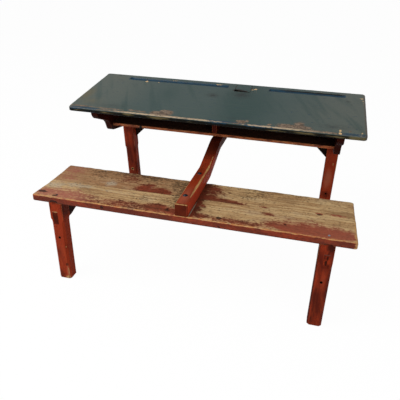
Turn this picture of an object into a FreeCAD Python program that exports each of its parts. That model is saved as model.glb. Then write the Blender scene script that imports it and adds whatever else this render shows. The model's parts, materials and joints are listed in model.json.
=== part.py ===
import FreeCAD, Part
import math
import os

# Two-seat school bench desk in painted softwood.
#
# The bench stands on two legs at its front edge, the desk on two legs at its back edge, and one
# bent arm bolted along the seat carries the desk. The desk top is fixed; under it an open book
# shelf hangs between two ogee brackets. An inkwell flap in the top lifts on a steel pin.
#
# Millimetres. +X runs along the bench, +Y from the bench to the desk, +Z up. The origin is on the
# floor under the middle of the whole object. "Desk frame" means the frame of the sloping top:
# y = 0 at its front edge, y rising with the slope, z = 0 on the writing surface.

V = FreeCAD.Vector

# ---------------------------------------------------------------- driving dimensions

# Bench seat
SEAT_LENGTH = 1200.0
SEAT_DEPTH = 297.0
SEAT_THICKNESS = 25.0
SEAT_HEIGHT = 380.0
SEAT_CORNER_RADIUS = 9.0
SEAT_ARRIS_RADIUS = 3.5
SEAT_OVERHANG = 66.5

# Desk top
TOP_LENGTH = 1204.0
TOP_DEPTH = 418.0
TOP_THICKNESS = 19.0
TOP_SLOPE = 7.0
TOP_FRONT_HEIGHT = 631.0
TOP_SETBACK = 333.0
TOP_CORNER_RADIUS = 14.0
TOP_ARRIS_RADIUS = 5.0
TOP_OVERHANG = 68.5
LOWER_ARRIS = 1.5

# Legs, four alike in section
LEG_WIDTH = 53.0
LEG_DEPTH = 51.0
BENCH_LEG_SETBACK = 2.0
LEG_CHAMFER = 8.0
CHAMFER_RUNOUT = 24.0
BENCH_LEG_SQUARE_LENGTH = 70.0
DESK_LEG_SQUARE_LENGTH = 347.0
FOOT_ARRIS = 3.0
LEG_HOLE_DIAMETER = 9.0
BENCH_LEG_HOLE_DROP = 155.0
DESK_LEG_HOLE_DROP = 482.0

# Brackets between the legs and the boards that they carry
BRACKET_INSET = 32.0
SEAT_BRACKET_THICKNESS = 22.0
DESK_BRACKET_THICKNESS = 26.0
HOUSING_DEPTH = 5.0
SEAT_BRACKET_REACH = 218.0
SEAT_BRACKET_HEEL = 98.0
DESK_BRACKET_REACH = 318.0
DESK_BRACKET_HEEL = 221.0
SEAT_MORTISE_TOP = 38.0
SEAT_MORTISE_HEIGHT = 56.0
DESK_MORTISE_TOP = 45.0
DESK_MORTISE_HEIGHT = 140.0
WEDGE_THICKNESS = 4.0
WEDGE_LENGTH = 30.0

# Book compartment
SHELF_DROP = 134.0
SHELF_THICKNESS = 12.0
SHELF_SETBACK = 195.0
SHELF_HOUSING = 6.0
DIVIDER_THICKNESS = 20.0
DIVIDER_X = -16.0
DIVIDER_SETBACK = 3.0
BACK_THICKNESS = 18.0
BACK_HEIGHT = 249.0
BACK_TONGUE = 8.0
GUSSET_SIZE = 50.0

# Bent arm between the bench and the desk
ARM_WIDTH = 46.0
ARM_X = -5.0
ARM_SETBACK = 4.0
ARM_HEIGHT = 47.0
ARM_NECK_HEIGHT = 41.0
ARM_RISE = 60.0
ARM_SEAT_MARGIN = 49.0
ARM_TAIL_LENGTH = 217.0
ARM_BEND_RADIUS = 110.0
ARM_NECK_LENGTH = 55.0
ARM_SADDLE_LENGTH = 100.0
ARM_ARRIS = 2.5
ARM_TENON_WIDTH = 26.0
ARM_TENON_HEIGHT = 40.0
ARM_TENON_DROP = 18.0

# Coach bolts through the arm and the seat
BOLT_X = -10.0
BOLT_PLACES = (76.0, 277.0)
BOLT_DIAMETER = 8.0
BOLT_HEAD_DIAMETER = 19.0
BOLT_HEAD_HEIGHT = 4.5
BOLT_NECK_LENGTH = 6.0
BOLT_TAIL = 3.0
NUT_WIDTH = 14.0
NUT_HEIGHT = 6.5
WASHER_WIDTH = 24.0
WASHER_THICKNESS = 2.0

# Pencil grooves in the desk top
GROOVE_WIDTH = 28.0
GROOVE_DEPTH = 7.0
GROOVE_BACK_MARGIN = 31.0
LEFT_GROOVE_MARGIN = 132.0
LEFT_GROOVE_END = 8.0
RIGHT_GROOVE_START = 193.0
RIGHT_GROOVE_MARGIN = 84.0

# Inkwell, its recess and its flap
RECESS_X = (42.0, 140.0)
RECESS_BACK_MARGIN = 25.0
RECESS_DEPTH_Y = 71.0
FLAP_THICKNESS = 7.0
FLAP_WIDTH = 70.5
FLAP_LEFT_LENGTH = 43.0
FLAP_RIGHT_LENGTH = 60.0
FLAP_SIDE_GAP = 1.0
FLAP_FLOOR_GAP = 0.4
FLAP_BACK_GAP = 0.6
FLAP_STOP_CHAMFER = 3.0
PIN_DIAMETER = 3.0
PIN_RADIAL_CLEARANCE = 0.05
PIN_SEATING = 11.0
CUP_X = 76.0
CUP_BACK_MARGIN = 66.0
CUP_DIAMETER = 38.0
CUP_RIM_DIAMETER = 46.0
CUP_RIM_THICKNESS = 3.2
CUP_DEPTH = 36.0
CUP_WALL = 3.0
CUP_RADIAL_CLEARANCE = 0.5

# Nails: round wire nails in the seat, square cut nails elsewhere
NAIL_DIAMETER = 3.0
NAIL_HEAD_DIAMETER = 8.0
NAIL_HEAD_HEIGHT = 1.2
NAIL_GRIP = 32.0
SEAT_NAIL_SETBACK = 23.0
CUT_NAIL_WIDTH = 3.0
CUT_NAIL_HEAD_WIDTH = 6.0
BACK_NAIL_MARGIN = 82.0
BACK_NAIL_PITCH = 190.0
DIVIDER_NAIL_MARGIN = 30.0
SHELF_NAIL_PLACES = (25.0, 70.0)
SHELF_NAIL_X = 7.0
BLOCK_NAIL_WIDTH = 2.0
BLOCK_NAIL_HEAD_WIDTH = 4.5
BLOCK_NAIL_LENGTH = 15.0
BLOCK_NAIL_MARGIN = 14.0

# ---------------------------------------------------------------- derived places

SIDES = {"left": -1, "right": 1}

seat_underside = SEAT_HEIGHT - SEAT_THICKNESS
bench_leg_outside = SEAT_LENGTH / 2 - SEAT_OVERHANG
bench_leg_front = BENCH_LEG_SETBACK
bench_leg_back = bench_leg_front + LEG_DEPTH

slope = math.radians(TOP_SLOPE)
top_underside = -TOP_THICKNESS
desk_leg_outside = TOP_LENGTH / 2 - TOP_OVERHANG
leg_gap_half = desk_leg_outside - LEG_WIDTH
desk_leg_back = TOP_DEPTH
desk_leg_front = desk_leg_back - LEG_DEPTH
back_front = TOP_DEPTH - BACK_THICKNESS
back_bottom = top_underside - BACK_HEIGHT
shelf_top = top_underside - SHELF_DROP
shelf_bottom = shelf_top - SHELF_THICKNESS

left_groove = (LEFT_GROOVE_MARGIN - TOP_LENGTH / 2, LEFT_GROOVE_END)
right_groove = (RIGHT_GROOVE_START, TOP_LENGTH / 2 - RIGHT_GROOVE_MARGIN)
recess_back = TOP_DEPTH - RECESS_BACK_MARGIN
recess_front = recess_back - RECESS_DEPTH_Y
recess_floor = -FLAP_THICKNESS - FLAP_FLOOR_GAP
pin_height = -FLAP_THICKNESS / 2
pin_place = recess_back - FLAP_BACK_GAP - FLAP_THICKNESS / 2
flap_left = RECESS_X[0] + FLAP_SIDE_GAP
flap_right = flap_left + FLAP_WIDTH
block_left = flap_right + FLAP_SIDE_GAP

TOO_FAR = 50.0
FLOOR_REACH = 2000.0


# ---------------------------------------------------------------- shapes used throughout


def box(x, y, z):
    """Box between the (low, high) pairs x, y and z."""
    lengths = [high - low for low, high in (x, y, z)]
    return Part.makeBox(*lengths, V(x[0], y[0], z[0]))


def rod(start, end, diameter):
    """Round bar from one point to another."""
    axis = end - start
    return Part.makeCylinder(diameter / 2, axis.Length, start, axis)


def rounded_face(corners, place):
    """Face inside the closed path through (u, v, radius) corners, each rounded at its radius.

    place(u, v) gives the point in space of a point on the path.
    """
    points = [V(u, v, 0) for u, v, _ in corners]
    stretches = []
    for index, (_, _, radius) in enumerate(corners):
        here = points[index]
        to_last = (points[index - 1] - here).normalize()
        to_next = (points[(index + 1) % len(points)] - here).normalize()
        if radius == 0:
            stretches.append((here, None, here))
            continue
        half_angle = to_last.getAngle(to_next) / 2
        trim = radius / math.tan(half_angle)
        centre = here + (to_last + to_next).normalize() * (radius / math.sin(half_angle))
        middle = centre + (here - centre).normalize() * radius
        stretches.append((here + to_last * trim, middle, here + to_next * trim))
    edges = []
    for index, (start, middle, end) in enumerate(stretches):
        if middle is not None:
            arc = Part.Arc(place(start.x, start.y), place(middle.x, middle.y), place(end.x, end.y))
            edges.append(arc.toShape())
        following = stretches[(index + 1) % len(stretches)][0]
        if (following - end).Length > 1e-6:
            edges.append(Part.makeLine(place(end.x, end.y), place(following.x, following.y)))
    return Part.Face(Part.Wire(edges))


def board(corners, x):
    """Board with an outline of (y, z, radius) corners, between the (low, high) pair x."""
    face = rounded_face(corners, lambda y, z: V(x[0], y, z))
    return face.extrude(V(x[1] - x[0], 0, 0))


def plank(length, depth, thickness, top, corner_radius, arris_radius):
    """Flat board, front edge at y = 0 and upper face at z = top, its upper arrises rounded."""
    half = length / 2
    corners = [
        (-half, 0, corner_radius),
        (half, 0, corner_radius),
        (half, depth, corner_radius),
        (-half, depth, corner_radius),
    ]
    face = rounded_face(corners, lambda x, y: V(x, y, top - thickness))
    body = face.extrude(V(0, 0, thickness))
    upper = [edge for edge in body.Edges if edge.BoundBox.ZMin > top - 1e-6]
    body = body.makeFillet(arris_radius, upper)
    lower = [edge for edge in body.Edges if edge.BoundBox.ZMax < top - thickness + 1e-6]
    return body.makeChamfer(LOWER_ARRIS, lower)


def pair_across(middle, size):
    """(low, high) pair of the given size about a middle."""
    return (middle - size / 2, middle + size / 2)


def square_bar(start, end, width):
    """Square bar from one point to another with the same x."""
    across = V(1, 0, 0)
    upright = (end - start).normalize().cross(across)
    half = width / 2
    corners = [(-half, -half, 0), (half, -half, 0), (half, half, 0), (-half, half, 0)]
    face = rounded_face(corners, lambda u, v: start + across * u + upright * v)
    return face.extrude(end - start)


def wire_nail(head_top, direction, length):
    """Round nail driven along a unit direction, the outer face of its head at head_top."""
    head_end = head_top + direction * NAIL_HEAD_HEIGHT
    head = rod(head_top, head_end, NAIL_HEAD_DIAMETER)
    return head.fuse(rod(head_end, head_top + direction * length, NAIL_DIAMETER)).removeSplitter()


def cut_nail(head_top, direction, length, width=CUT_NAIL_WIDTH, head_width=CUT_NAIL_HEAD_WIDTH):
    """Square nail driven along a unit direction at right angles to x."""
    head_end = head_top + direction * NAIL_HEAD_HEIGHT
    head = square_bar(head_top, head_end, head_width)
    return head.fuse(square_bar(head_end, head_top + direction * length, width)).removeSplitter()


def desk_point(y, z):
    """Where a point (y, z) of the desk frame lies on the bench's y and z."""
    return (
        TOP_SETBACK + y * math.cos(slope) - z * math.sin(slope),
        TOP_FRONT_HEIGHT + y * math.sin(slope) + z * math.cos(slope),
    )


def tilted(shape):
    """Shape taken from the desk frame to its place over the floor."""
    placed = shape.copy()
    placed.rotate(V(0, 0, 0), V(1, 0, 0), TOP_SLOPE)
    placed.translate(V(0, TOP_SETBACK, TOP_FRONT_HEIGHT))
    return placed


def cut_all(shape, tools):
    """Shape with every tool cut from it."""
    return shape.cut(Part.makeCompound(list(tools)))


# ---------------------------------------------------------------- legs and brackets


def chamfer_tool(x, y, inward, square_length, length):
    """Cutter for one stopped chamfer down the arris at (x, y); inward is its diagonal.

    The chamfer ends in a scooped run-out, square_length below the leg's shoulder.
    """
    depth = LEG_CHAMFER / math.sqrt(2)
    radius = (CHAMFER_RUNOUT**2 + depth**2) / (2 * depth)
    sweep = math.asin(CHAMFER_RUNOUT / radius)
    arc_end = -square_length - CHAMFER_RUNOUT

    def place(inset, z):
        return V(x, y, z) + inward * inset

    scoop = Part.Arc(
        place(depth, arc_end),
        place(depth - radius + radius * math.cos(sweep / 2), arc_end + radius * math.sin(sweep / 2)),
        place(0, -square_length),
    )
    foot = -length - TOO_FAR
    outer = [place(0, -square_length), place(-LEG_CHAMFER, -square_length), place(-LEG_CHAMFER, foot)]
    inner = [place(-LEG_CHAMFER, foot), place(depth, foot), place(depth, arc_end)]
    wire = Part.Wire([scoop.toShape()] + Part.makePolygon(outer).Edges + Part.makePolygon(inner).Edges)
    across = V(-inward.y, inward.x, 0) * (2 * LEG_CHAMFER)
    tool = Part.Face(wire).extrude(across)
    tool.translate(across * -0.5)
    return tool


def make_leg(middle, faces, length, square_length, bracket_x, mortise, hole_drop):
    """Leg about x = middle, its shoulder at z = 0, between the (low, high) pair faces along y.

    A tongue above the shoulder fills the housing over it, and a through mortise takes the
    bracket's tenon.
    """
    across = pair_across(middle, LEG_WIDTH)
    leg = box(across, faces, (-length, 0)).fuse(box(bracket_x, faces, (0, HOUSING_DEPTH)))
    tools = [box(bracket_x, faces, mortise)]
    for x, inward_x in zip(across, (1, -1)):
        for y, inward_y in zip(faces, (1, -1)):
            inward = V(inward_x, inward_y, 0).normalize()
            tools.append(chamfer_tool(x, y, inward, square_length, length))
    tools.append(rod(V(middle, faces[0], -hole_drop), V(middle, faces[1], -hole_drop), LEG_HOLE_DIAMETER))
    return cut_all(leg, tools).removeSplitter()


def ease_foot(leg):
    """Leg with the arrises of its foot taken off."""
    rim = [edge for edge in leg.Edges if abs(edge.BoundBox.ZMax) < 1e-6]
    return leg.makeChamfer(FOOT_ARRIS, rim)


def bracket_outline(lower_edge, near, far, heel, mortise):
    """Outline of a bracket whose upper edge fills a housing above z = 0.

    lower_edge runs from the free end to the leg. near and far are the leg's faces: the bracket
    butts on near and its tenon shows at far, with room for a wedge on top.
    """
    free_end = lower_edge[0][0]
    low, high = mortise
    wedge_tip = far + math.copysign(WEDGE_LENGTH, near - far)
    return lower_edge + [
        (near, -heel, 0),
        (near, low, 0),
        (far, low, 0),
        (far, high - WEDGE_THICKNESS, 0),
        (wedge_tip, high, 0),
        (near, high, 0),
        (near, HOUSING_DEPTH, 0),
        (free_end, HOUSING_DEPTH, 0),
    ]


def tenon_wedge(x, near, far, mortise_top):
    """Wedge between a through tenon and the top of its mortise."""
    tip = far + math.copysign(WEDGE_LENGTH, near - far)
    return board([(far, mortise_top, 0), (tip, mortise_top, 0), (far, mortise_top - WEDGE_THICKNESS, 0)], x)


def bracket_x(side, leg_outside, thickness):
    """(low, high) pair of a bracket across the object, beside a leg whose outer face is given."""
    return pair_across(side * (leg_outside - BRACKET_INSET + thickness / 2), thickness)


# Lower edges, free end first, as (distance from the leg, drop below the board, radius): an upper
# nose, a cove and a lower nose, then a straight run to the leg.
DESK_OGEE = (
    (DESK_BRACKET_REACH, 0, 0),
    (DESK_BRACKET_REACH - 7, 50, 42),
    (DESK_BRACKET_REACH - 115, 110, 52),
    (DESK_BRACKET_REACH - 132, 164, 32),
)
SEAT_OGEE = (
    (SEAT_BRACKET_REACH, 0, 0),
    (SEAT_BRACKET_REACH - 5, 22, 14),
    (SEAT_BRACKET_REACH - 50, 38, 16),
    (SEAT_BRACKET_REACH - 64, 64, 28),
    (46, SEAT_BRACKET_HEEL, 60),
)

seat_mortise = (-SEAT_MORTISE_TOP - SEAT_MORTISE_HEIGHT, -SEAT_MORTISE_TOP)
desk_mortise = (-DESK_MORTISE_TOP - DESK_MORTISE_HEIGHT, -DESK_MORTISE_TOP)


def bench_support(side):
    """Bench leg, its bracket and the wedge of its tenon, shoulder at the seat's underside."""
    x = bracket_x(side, bench_leg_outside, SEAT_BRACKET_THICKNESS)
    near, far = bench_leg_back, bench_leg_front
    faces = (far, near)
    middle = side * (bench_leg_outside - LEG_WIDTH / 2)
    length = seat_underside
    leg = make_leg(middle, faces, length, BENCH_LEG_SQUARE_LENGTH, x, seat_mortise, BENCH_LEG_HOLE_DROP)
    lower_edge = [(near + out, -drop, radius) for out, drop, radius in SEAT_OGEE]
    bracket = board(bracket_outline(lower_edge, near, far, SEAT_BRACKET_HEEL, seat_mortise), x)
    wedge = tenon_wedge(x, near, far, seat_mortise[1])
    for shape in (leg, bracket, wedge):
        shape.translate(V(0, 0, seat_underside))
    return ease_foot(leg), bracket, wedge


def desk_support(side):
    """Desk leg, its ogee bracket and the wedge of its tenon."""
    x = bracket_x(side, desk_leg_outside, DESK_BRACKET_THICKNESS)
    near, far = desk_leg_front, desk_leg_back
    faces = (near, far)
    middle = side * (desk_leg_outside - LEG_WIDTH / 2)
    length = TOP_FRONT_HEIGHT + TOO_FAR
    leg = make_leg(middle, faces, length, DESK_LEG_SQUARE_LENGTH, x, desk_mortise, DESK_LEG_HOLE_DROP)
    lower_edge = [(near - out, -drop, radius) for out, drop, radius in DESK_OGEE]
    bracket = board(bracket_outline(lower_edge, near, far, DESK_BRACKET_HEEL, desk_mortise), x)
    wedge = tenon_wedge(x, near, far, desk_mortise[1])
    for shape in (leg, bracket, wedge):
        shape.translate(V(0, 0, top_underside))
    bracket = bracket.cut(shelf_blank())
    leg = leg.cut(back_blank())
    above_floor = box((-FLOOR_REACH, FLOOR_REACH), (-FLOOR_REACH, FLOOR_REACH), (0, FLOOR_REACH))
    return ease_foot(tilted(leg).common(above_floor)), tilted(bracket), tilted(wedge)


# ---------------------------------------------------------------- book compartment, desk frame


def shelf_blank():
    """Shelf, housed in both brackets and notched round the legs."""
    front_half = desk_leg_outside - BRACKET_INSET + SHELF_HOUSING
    front = box((-front_half, front_half), (SHELF_SETBACK, desk_leg_front), (shelf_bottom, shelf_top))
    between_legs = box((-leg_gap_half, leg_gap_half), (desk_leg_front, back_front), (shelf_bottom, shelf_top))
    return front.fuse(between_legs).removeSplitter()


def back_blank():
    """Back board, with a tongue down each end in the legs."""
    panel = box((-leg_gap_half, leg_gap_half), (back_front, TOP_DEPTH), (back_bottom, top_underside))
    tongue_half = leg_gap_half + BACK_TONGUE
    tongue_y = pair_across(back_front + BACK_THICKNESS / 2, BACK_TONGUE)
    tongue = box((-tongue_half, tongue_half), tongue_y, (back_bottom, top_underside))
    return panel.fuse(tongue).removeSplitter()


def make_divider():
    """Upright between the shelf and the top."""
    x = pair_across(DIVIDER_X, DIVIDER_THICKNESS)
    return box(x, (SHELF_SETBACK + DIVIDER_SETBACK, back_front), (shelf_top, top_underside))


def make_gusset(side):
    """Three-cornered block in the angle between a leg and the back board's lower edge."""
    inner = side * leg_gap_half
    tip = side * (leg_gap_half - GUSSET_SIZE)
    corners = [(inner, back_bottom, 0), (inner, back_bottom - GUSSET_SIZE, 0), (tip, back_bottom, 0)]
    face = rounded_face(corners, lambda x, z: V(x, back_front, z))
    return face.extrude(V(0, BACK_THICKNESS, 0))


# ---------------------------------------------------------------- arm


def height_on_plane(y, z):
    """Desk-frame height at which the plane desk y = y crosses the level z over the floor."""
    return (z - TOP_FRONT_HEIGHT - y * math.sin(slope)) / math.cos(slope)


def arm_tenon():
    """Tenon on the arm's far end, through the back board, in the desk frame."""
    high = shelf_bottom - ARM_TENON_DROP
    return box(pair_across(ARM_X, ARM_TENON_WIDTH), (back_front, TOP_DEPTH), (high - ARM_TENON_HEIGHT, high))


def make_arm():
    """Arm that lies along the seat, bends up, passes under the shelf and ends in the back board."""
    seat_top = SEAT_HEIGHT + ARM_HEIGHT
    neck_under = SEAT_HEIGHT + ARM_RISE
    neck_top = neck_under + ARM_NECK_HEIGHT
    end_low = desk_point(back_front, height_on_plane(back_front, neck_under))
    end_high = desk_point(back_front, shelf_bottom)
    bend_start = SEAT_DEPTH + ARM_SEAT_MARGIN
    bend_end = end_high[0] - ARM_TAIL_LENGTH
    saddle = desk_point(back_front - ARM_SADDLE_LENGTH, shelf_bottom)
    corners = [
        (ARM_SETBACK, SEAT_HEIGHT, 0),
        (bend_start, SEAT_HEIGHT, ARM_BEND_RADIUS),
        (bend_end, neck_under, ARM_BEND_RADIUS),
        (*end_low, 0),
        (*end_high, 0),
        (*saddle, 0),
        (bend_end + ARM_NECK_LENGTH, neck_top, ARM_BEND_RADIUS),
        (bend_end, neck_top, ARM_BEND_RADIUS),
        (bend_start, seat_top, ARM_BEND_RADIUS),
        (ARM_SETBACK, seat_top, 0),
    ]
    x = pair_across(ARM_X, ARM_WIDTH)
    arm = board(corners, x)
    arrises = [edge for edge in arm.Edges if is_upper_arris(edge, seat_top, saddle)]
    return arm.makeChamfer(ARM_ARRIS, arrises).fuse(tilted(arm_tenon())).removeSplitter()


def is_upper_arris(edge, seat_top, saddle):
    """Whether an edge is a long arris of the arm's upper side, or the top arris of its front end."""
    bounds = edge.BoundBox
    runs_long = bounds.XLength < 1e-6 and bounds.ZMin > seat_top - 1e-6 and bounds.YMax < saddle[0] + 1e-6
    front_end = bounds.YMax < ARM_SETBACK + 1e-6 and bounds.ZMin > seat_top - 1e-6
    return runs_long or front_end


def coach_bolt(place):
    """Domed coach bolt with a square neck, standing at y = place along the seat."""
    rest = V(BOLT_X, place, SEAT_HEIGHT + ARM_HEIGHT)
    head_radius = BOLT_HEAD_DIAMETER / 2
    dome_radius = (head_radius**2 + BOLT_HEAD_HEIGHT**2) / (2 * BOLT_HEAD_HEIGHT)
    ball = Part.makeSphere(dome_radius, rest + V(0, 0, BOLT_HEAD_HEIGHT - dome_radius))
    dome = ball.common(rod(rest, rest + V(0, 0, BOLT_HEAD_HEIGHT), BOLT_HEAD_DIAMETER + 1))
    square = pair_across(rest.x, BOLT_DIAMETER), pair_across(rest.y, BOLT_DIAMETER)
    neck = box(*square, (rest.z - BOLT_NECK_LENGTH, rest.z))
    end = V(rest.x, rest.y, seat_underside - WASHER_THICKNESS - NUT_HEIGHT - BOLT_TAIL)
    return dome.fuse([neck, rod(rest, end, BOLT_DIAMETER)]).removeSplitter()


def bolt_washer(place):
    """Square plate washer under the seat."""
    across = pair_across(BOLT_X, WASHER_WIDTH), pair_across(place, WASHER_WIDTH)
    return box(*across, (seat_underside - WASHER_THICKNESS, seat_underside))


def bolt_nut(place):
    """Square nut under the washer."""
    high = seat_underside - WASHER_THICKNESS
    across = pair_across(BOLT_X, NUT_WIDTH), pair_across(place, NUT_WIDTH)
    return box(*across, (high - NUT_HEIGHT, high))


# ---------------------------------------------------------------- desk top and inkwell, desk frame


def groove_tool(x, round_end):
    """Scooped pencil groove between the (low, high) pair x; round_end is its rounded end."""
    middle = TOP_DEPTH - GROOVE_BACK_MARGIN - GROOVE_WIDTH / 2
    radius = (GROOVE_WIDTH**2 / 4 + GROOVE_DEPTH**2) / (2 * GROOVE_DEPTH)
    low, high = x
    if round_end == low:
        low += GROOVE_WIDTH / 2
        ball_x = low
    else:
        high -= GROOVE_WIDTH / 2
        ball_x = high
    z = radius - GROOVE_DEPTH
    trough = rod(V(low, middle, z), V(high, middle, z), 2 * radius)
    return trough.fuse(Part.makeSphere(radius, V(ball_x, middle, z)))


def cup_axis():
    """Point on the recess floor at the middle of the inkwell."""
    return V(CUP_X, TOP_DEPTH - CUP_BACK_MARGIN, recess_floor)


def make_cup():
    """Inkwell with a flat rim, hung by the rim in the top."""
    rest = cup_axis()
    under_rim = rest - V(0, 0, CUP_RIM_THICKNESS)
    foot = rest - V(0, 0, CUP_DEPTH)
    outside = rod(rest, under_rim, CUP_RIM_DIAMETER).fuse(rod(under_rim, foot, CUP_DIAMETER))
    inside = rod(rest, foot + V(0, 0, CUP_WALL), CUP_DIAMETER - 2 * CUP_WALL)
    return outside.cut(inside).removeSplitter()


def cup_tools():
    """Counterbore and hole in the top for the inkwell."""
    floor = cup_axis()
    seat = floor - V(0, 0, CUP_RIM_THICKNESS)
    counterbore = rod(floor, seat, CUP_RIM_DIAMETER + 2 * CUP_RADIAL_CLEARANCE)
    through = rod(floor, V(floor.x, floor.y, top_underside), CUP_DIAMETER + 2 * CUP_RADIAL_CLEARANCE)
    return [counterbore, through]


def make_flap():
    """Flap with a skewed front edge and a rounded back edge bored for its pin."""
    corners = [
        (flap_left, pin_place, 0),
        (flap_right, pin_place, 0),
        (flap_right, pin_place - FLAP_RIGHT_LENGTH, 0),
        (flap_left, pin_place - FLAP_LEFT_LENGTH, 0),
    ]
    leaf = rounded_face(corners, lambda x, y: V(x, y, -FLAP_THICKNESS)).extrude(V(0, 0, FLAP_THICKNESS))
    ends = V(flap_left, pin_place, pin_height), V(flap_right, pin_place, pin_height)
    knuckle = rod(*ends, FLAP_THICKNESS)
    return leaf.fuse(knuckle).cut(rod(*ends, PIN_DIAMETER + 2 * PIN_RADIAL_CLEARANCE)).removeSplitter()


def make_pin():
    """Steel wire pin, seated in the top on the left and in the filler block on the right."""
    left = V(RECESS_X[0] - PIN_SEATING, pin_place, pin_height)
    right = V(block_left + PIN_SEATING, pin_place, pin_height)
    return rod(left, right, PIN_DIAMETER)


def block_nails():
    """Two nails that hold the filler block down, their heads flush."""
    x = (block_left + RECESS_X[1]) / 2
    rows = (recess_front + BLOCK_NAIL_MARGIN, recess_back - 1.6 * BLOCK_NAIL_MARGIN)
    sizes = (BLOCK_NAIL_LENGTH, BLOCK_NAIL_WIDTH, BLOCK_NAIL_HEAD_WIDTH)
    return [cut_nail(V(x, y, 0), V(0, 0, -1), *sizes) for y in rows]


def make_block():
    """Filler block that closes the recess beside the flap and holds the end of its pin."""
    return box((block_left, RECESS_X[1]), (recess_front, recess_back), (recess_floor, 0))


def recess_tools():
    """Recess in the top, with its back arris taken off so that the flap can lean back."""
    recess = box(RECESS_X, (recess_front, recess_back), (recess_floor, TOO_FAR))
    corners = [
        (recess_back, -FLAP_STOP_CHAMFER, 0),
        (recess_back + FLAP_STOP_CHAMFER, 0, 0),
        (recess_back, 0, 0),
    ]
    return [recess, board(corners, (RECESS_X[0], block_left))]


def shelf_nails():
    """Nails from the shelf down into the arm, their heads flush."""
    places = [V(SHELF_NAIL_X, back_front - back, shelf_top) for back in SHELF_NAIL_PLACES]
    return [cut_nail(place, V(0, 0, -1), SHELF_THICKNESS + NAIL_GRIP) for place in places]


def divider_nails():
    """Nails from under the shelf up into the divider."""
    up = V(0, 0, 1)
    saddle_front = back_front - ARM_SADDLE_LENGTH
    rows = (SHELF_SETBACK + DIVIDER_NAIL_MARGIN, saddle_front - DIVIDER_NAIL_MARGIN)
    start = shelf_bottom - NAIL_HEAD_HEIGHT
    return [cut_nail(V(DIVIDER_X, y, start), up, SHELF_THICKNESS + NAIL_GRIP) for y in rows]


def back_nails():
    """Nails through the back board into the shelf."""
    level = (shelf_top + shelf_bottom) / 2
    start = TOP_DEPTH + NAIL_HEAD_HEIGHT
    outer = leg_gap_half - BACK_NAIL_MARGIN
    inner = outer - BACK_NAIL_PITCH
    return [
        cut_nail(V(x, start, level), V(0, -1, 0), BACK_THICKNESS + NAIL_GRIP)
        for x in (-outer, -inner, inner, outer)
    ]


def seat_nails():
    """Nails through the seat into the tops of the bench legs."""
    row = []
    for side in SIDES.values():
        x = side * (bench_leg_outside - LEG_WIDTH / 2)
        head = V(x, SEAT_NAIL_SETBACK, SEAT_HEIGHT + NAIL_HEAD_HEIGHT)
        row.append(wire_nail(head, V(0, 0, -1), SEAT_THICKNESS + NAIL_GRIP))
    return row


def make_desk_top():
    """Writing top with its housings, pencil grooves and inkwell recess."""
    top = plank(TOP_LENGTH, TOP_DEPTH, TOP_THICKNESS, 0, TOP_CORNER_RADIUS, TOP_ARRIS_RADIUS)
    tools = recess_tools() + cup_tools() + [make_pin()]
    tools += [groove_tool(left_groove, left_groove[0]), groove_tool(right_groove, right_groove[1])]
    tools += block_nails()
    for side in SIDES.values():
        housing_y = (desk_leg_front - DESK_BRACKET_REACH, TOP_DEPTH)
        housing_z = (top_underside, top_underside + HOUSING_DEPTH)
        housing_x = bracket_x(side, desk_leg_outside, DESK_BRACKET_THICKNESS)
        tools.append(box(housing_x, housing_y, housing_z))
    return cut_all(top, tools)


def make_seat():
    """Seat plank with its housings, bolt holes and nail holes."""
    seat = plank(SEAT_LENGTH, SEAT_DEPTH, SEAT_THICKNESS, SEAT_HEIGHT, SEAT_CORNER_RADIUS, SEAT_ARRIS_RADIUS)
    tools = [coach_bolt(place) for place in BOLT_PLACES] + seat_nails()
    for side in SIDES.values():
        housing_y = (-TOO_FAR, bench_leg_back + SEAT_BRACKET_REACH)
        housing_z = (seat_underside, seat_underside + HOUSING_DEPTH)
        housing_x = bracket_x(side, bench_leg_outside, SEAT_BRACKET_THICKNESS)
        tools.append(box(housing_x, housing_y, housing_z))
    return cut_all(seat, tools)


# ---------------------------------------------------------------- assembly


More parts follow.
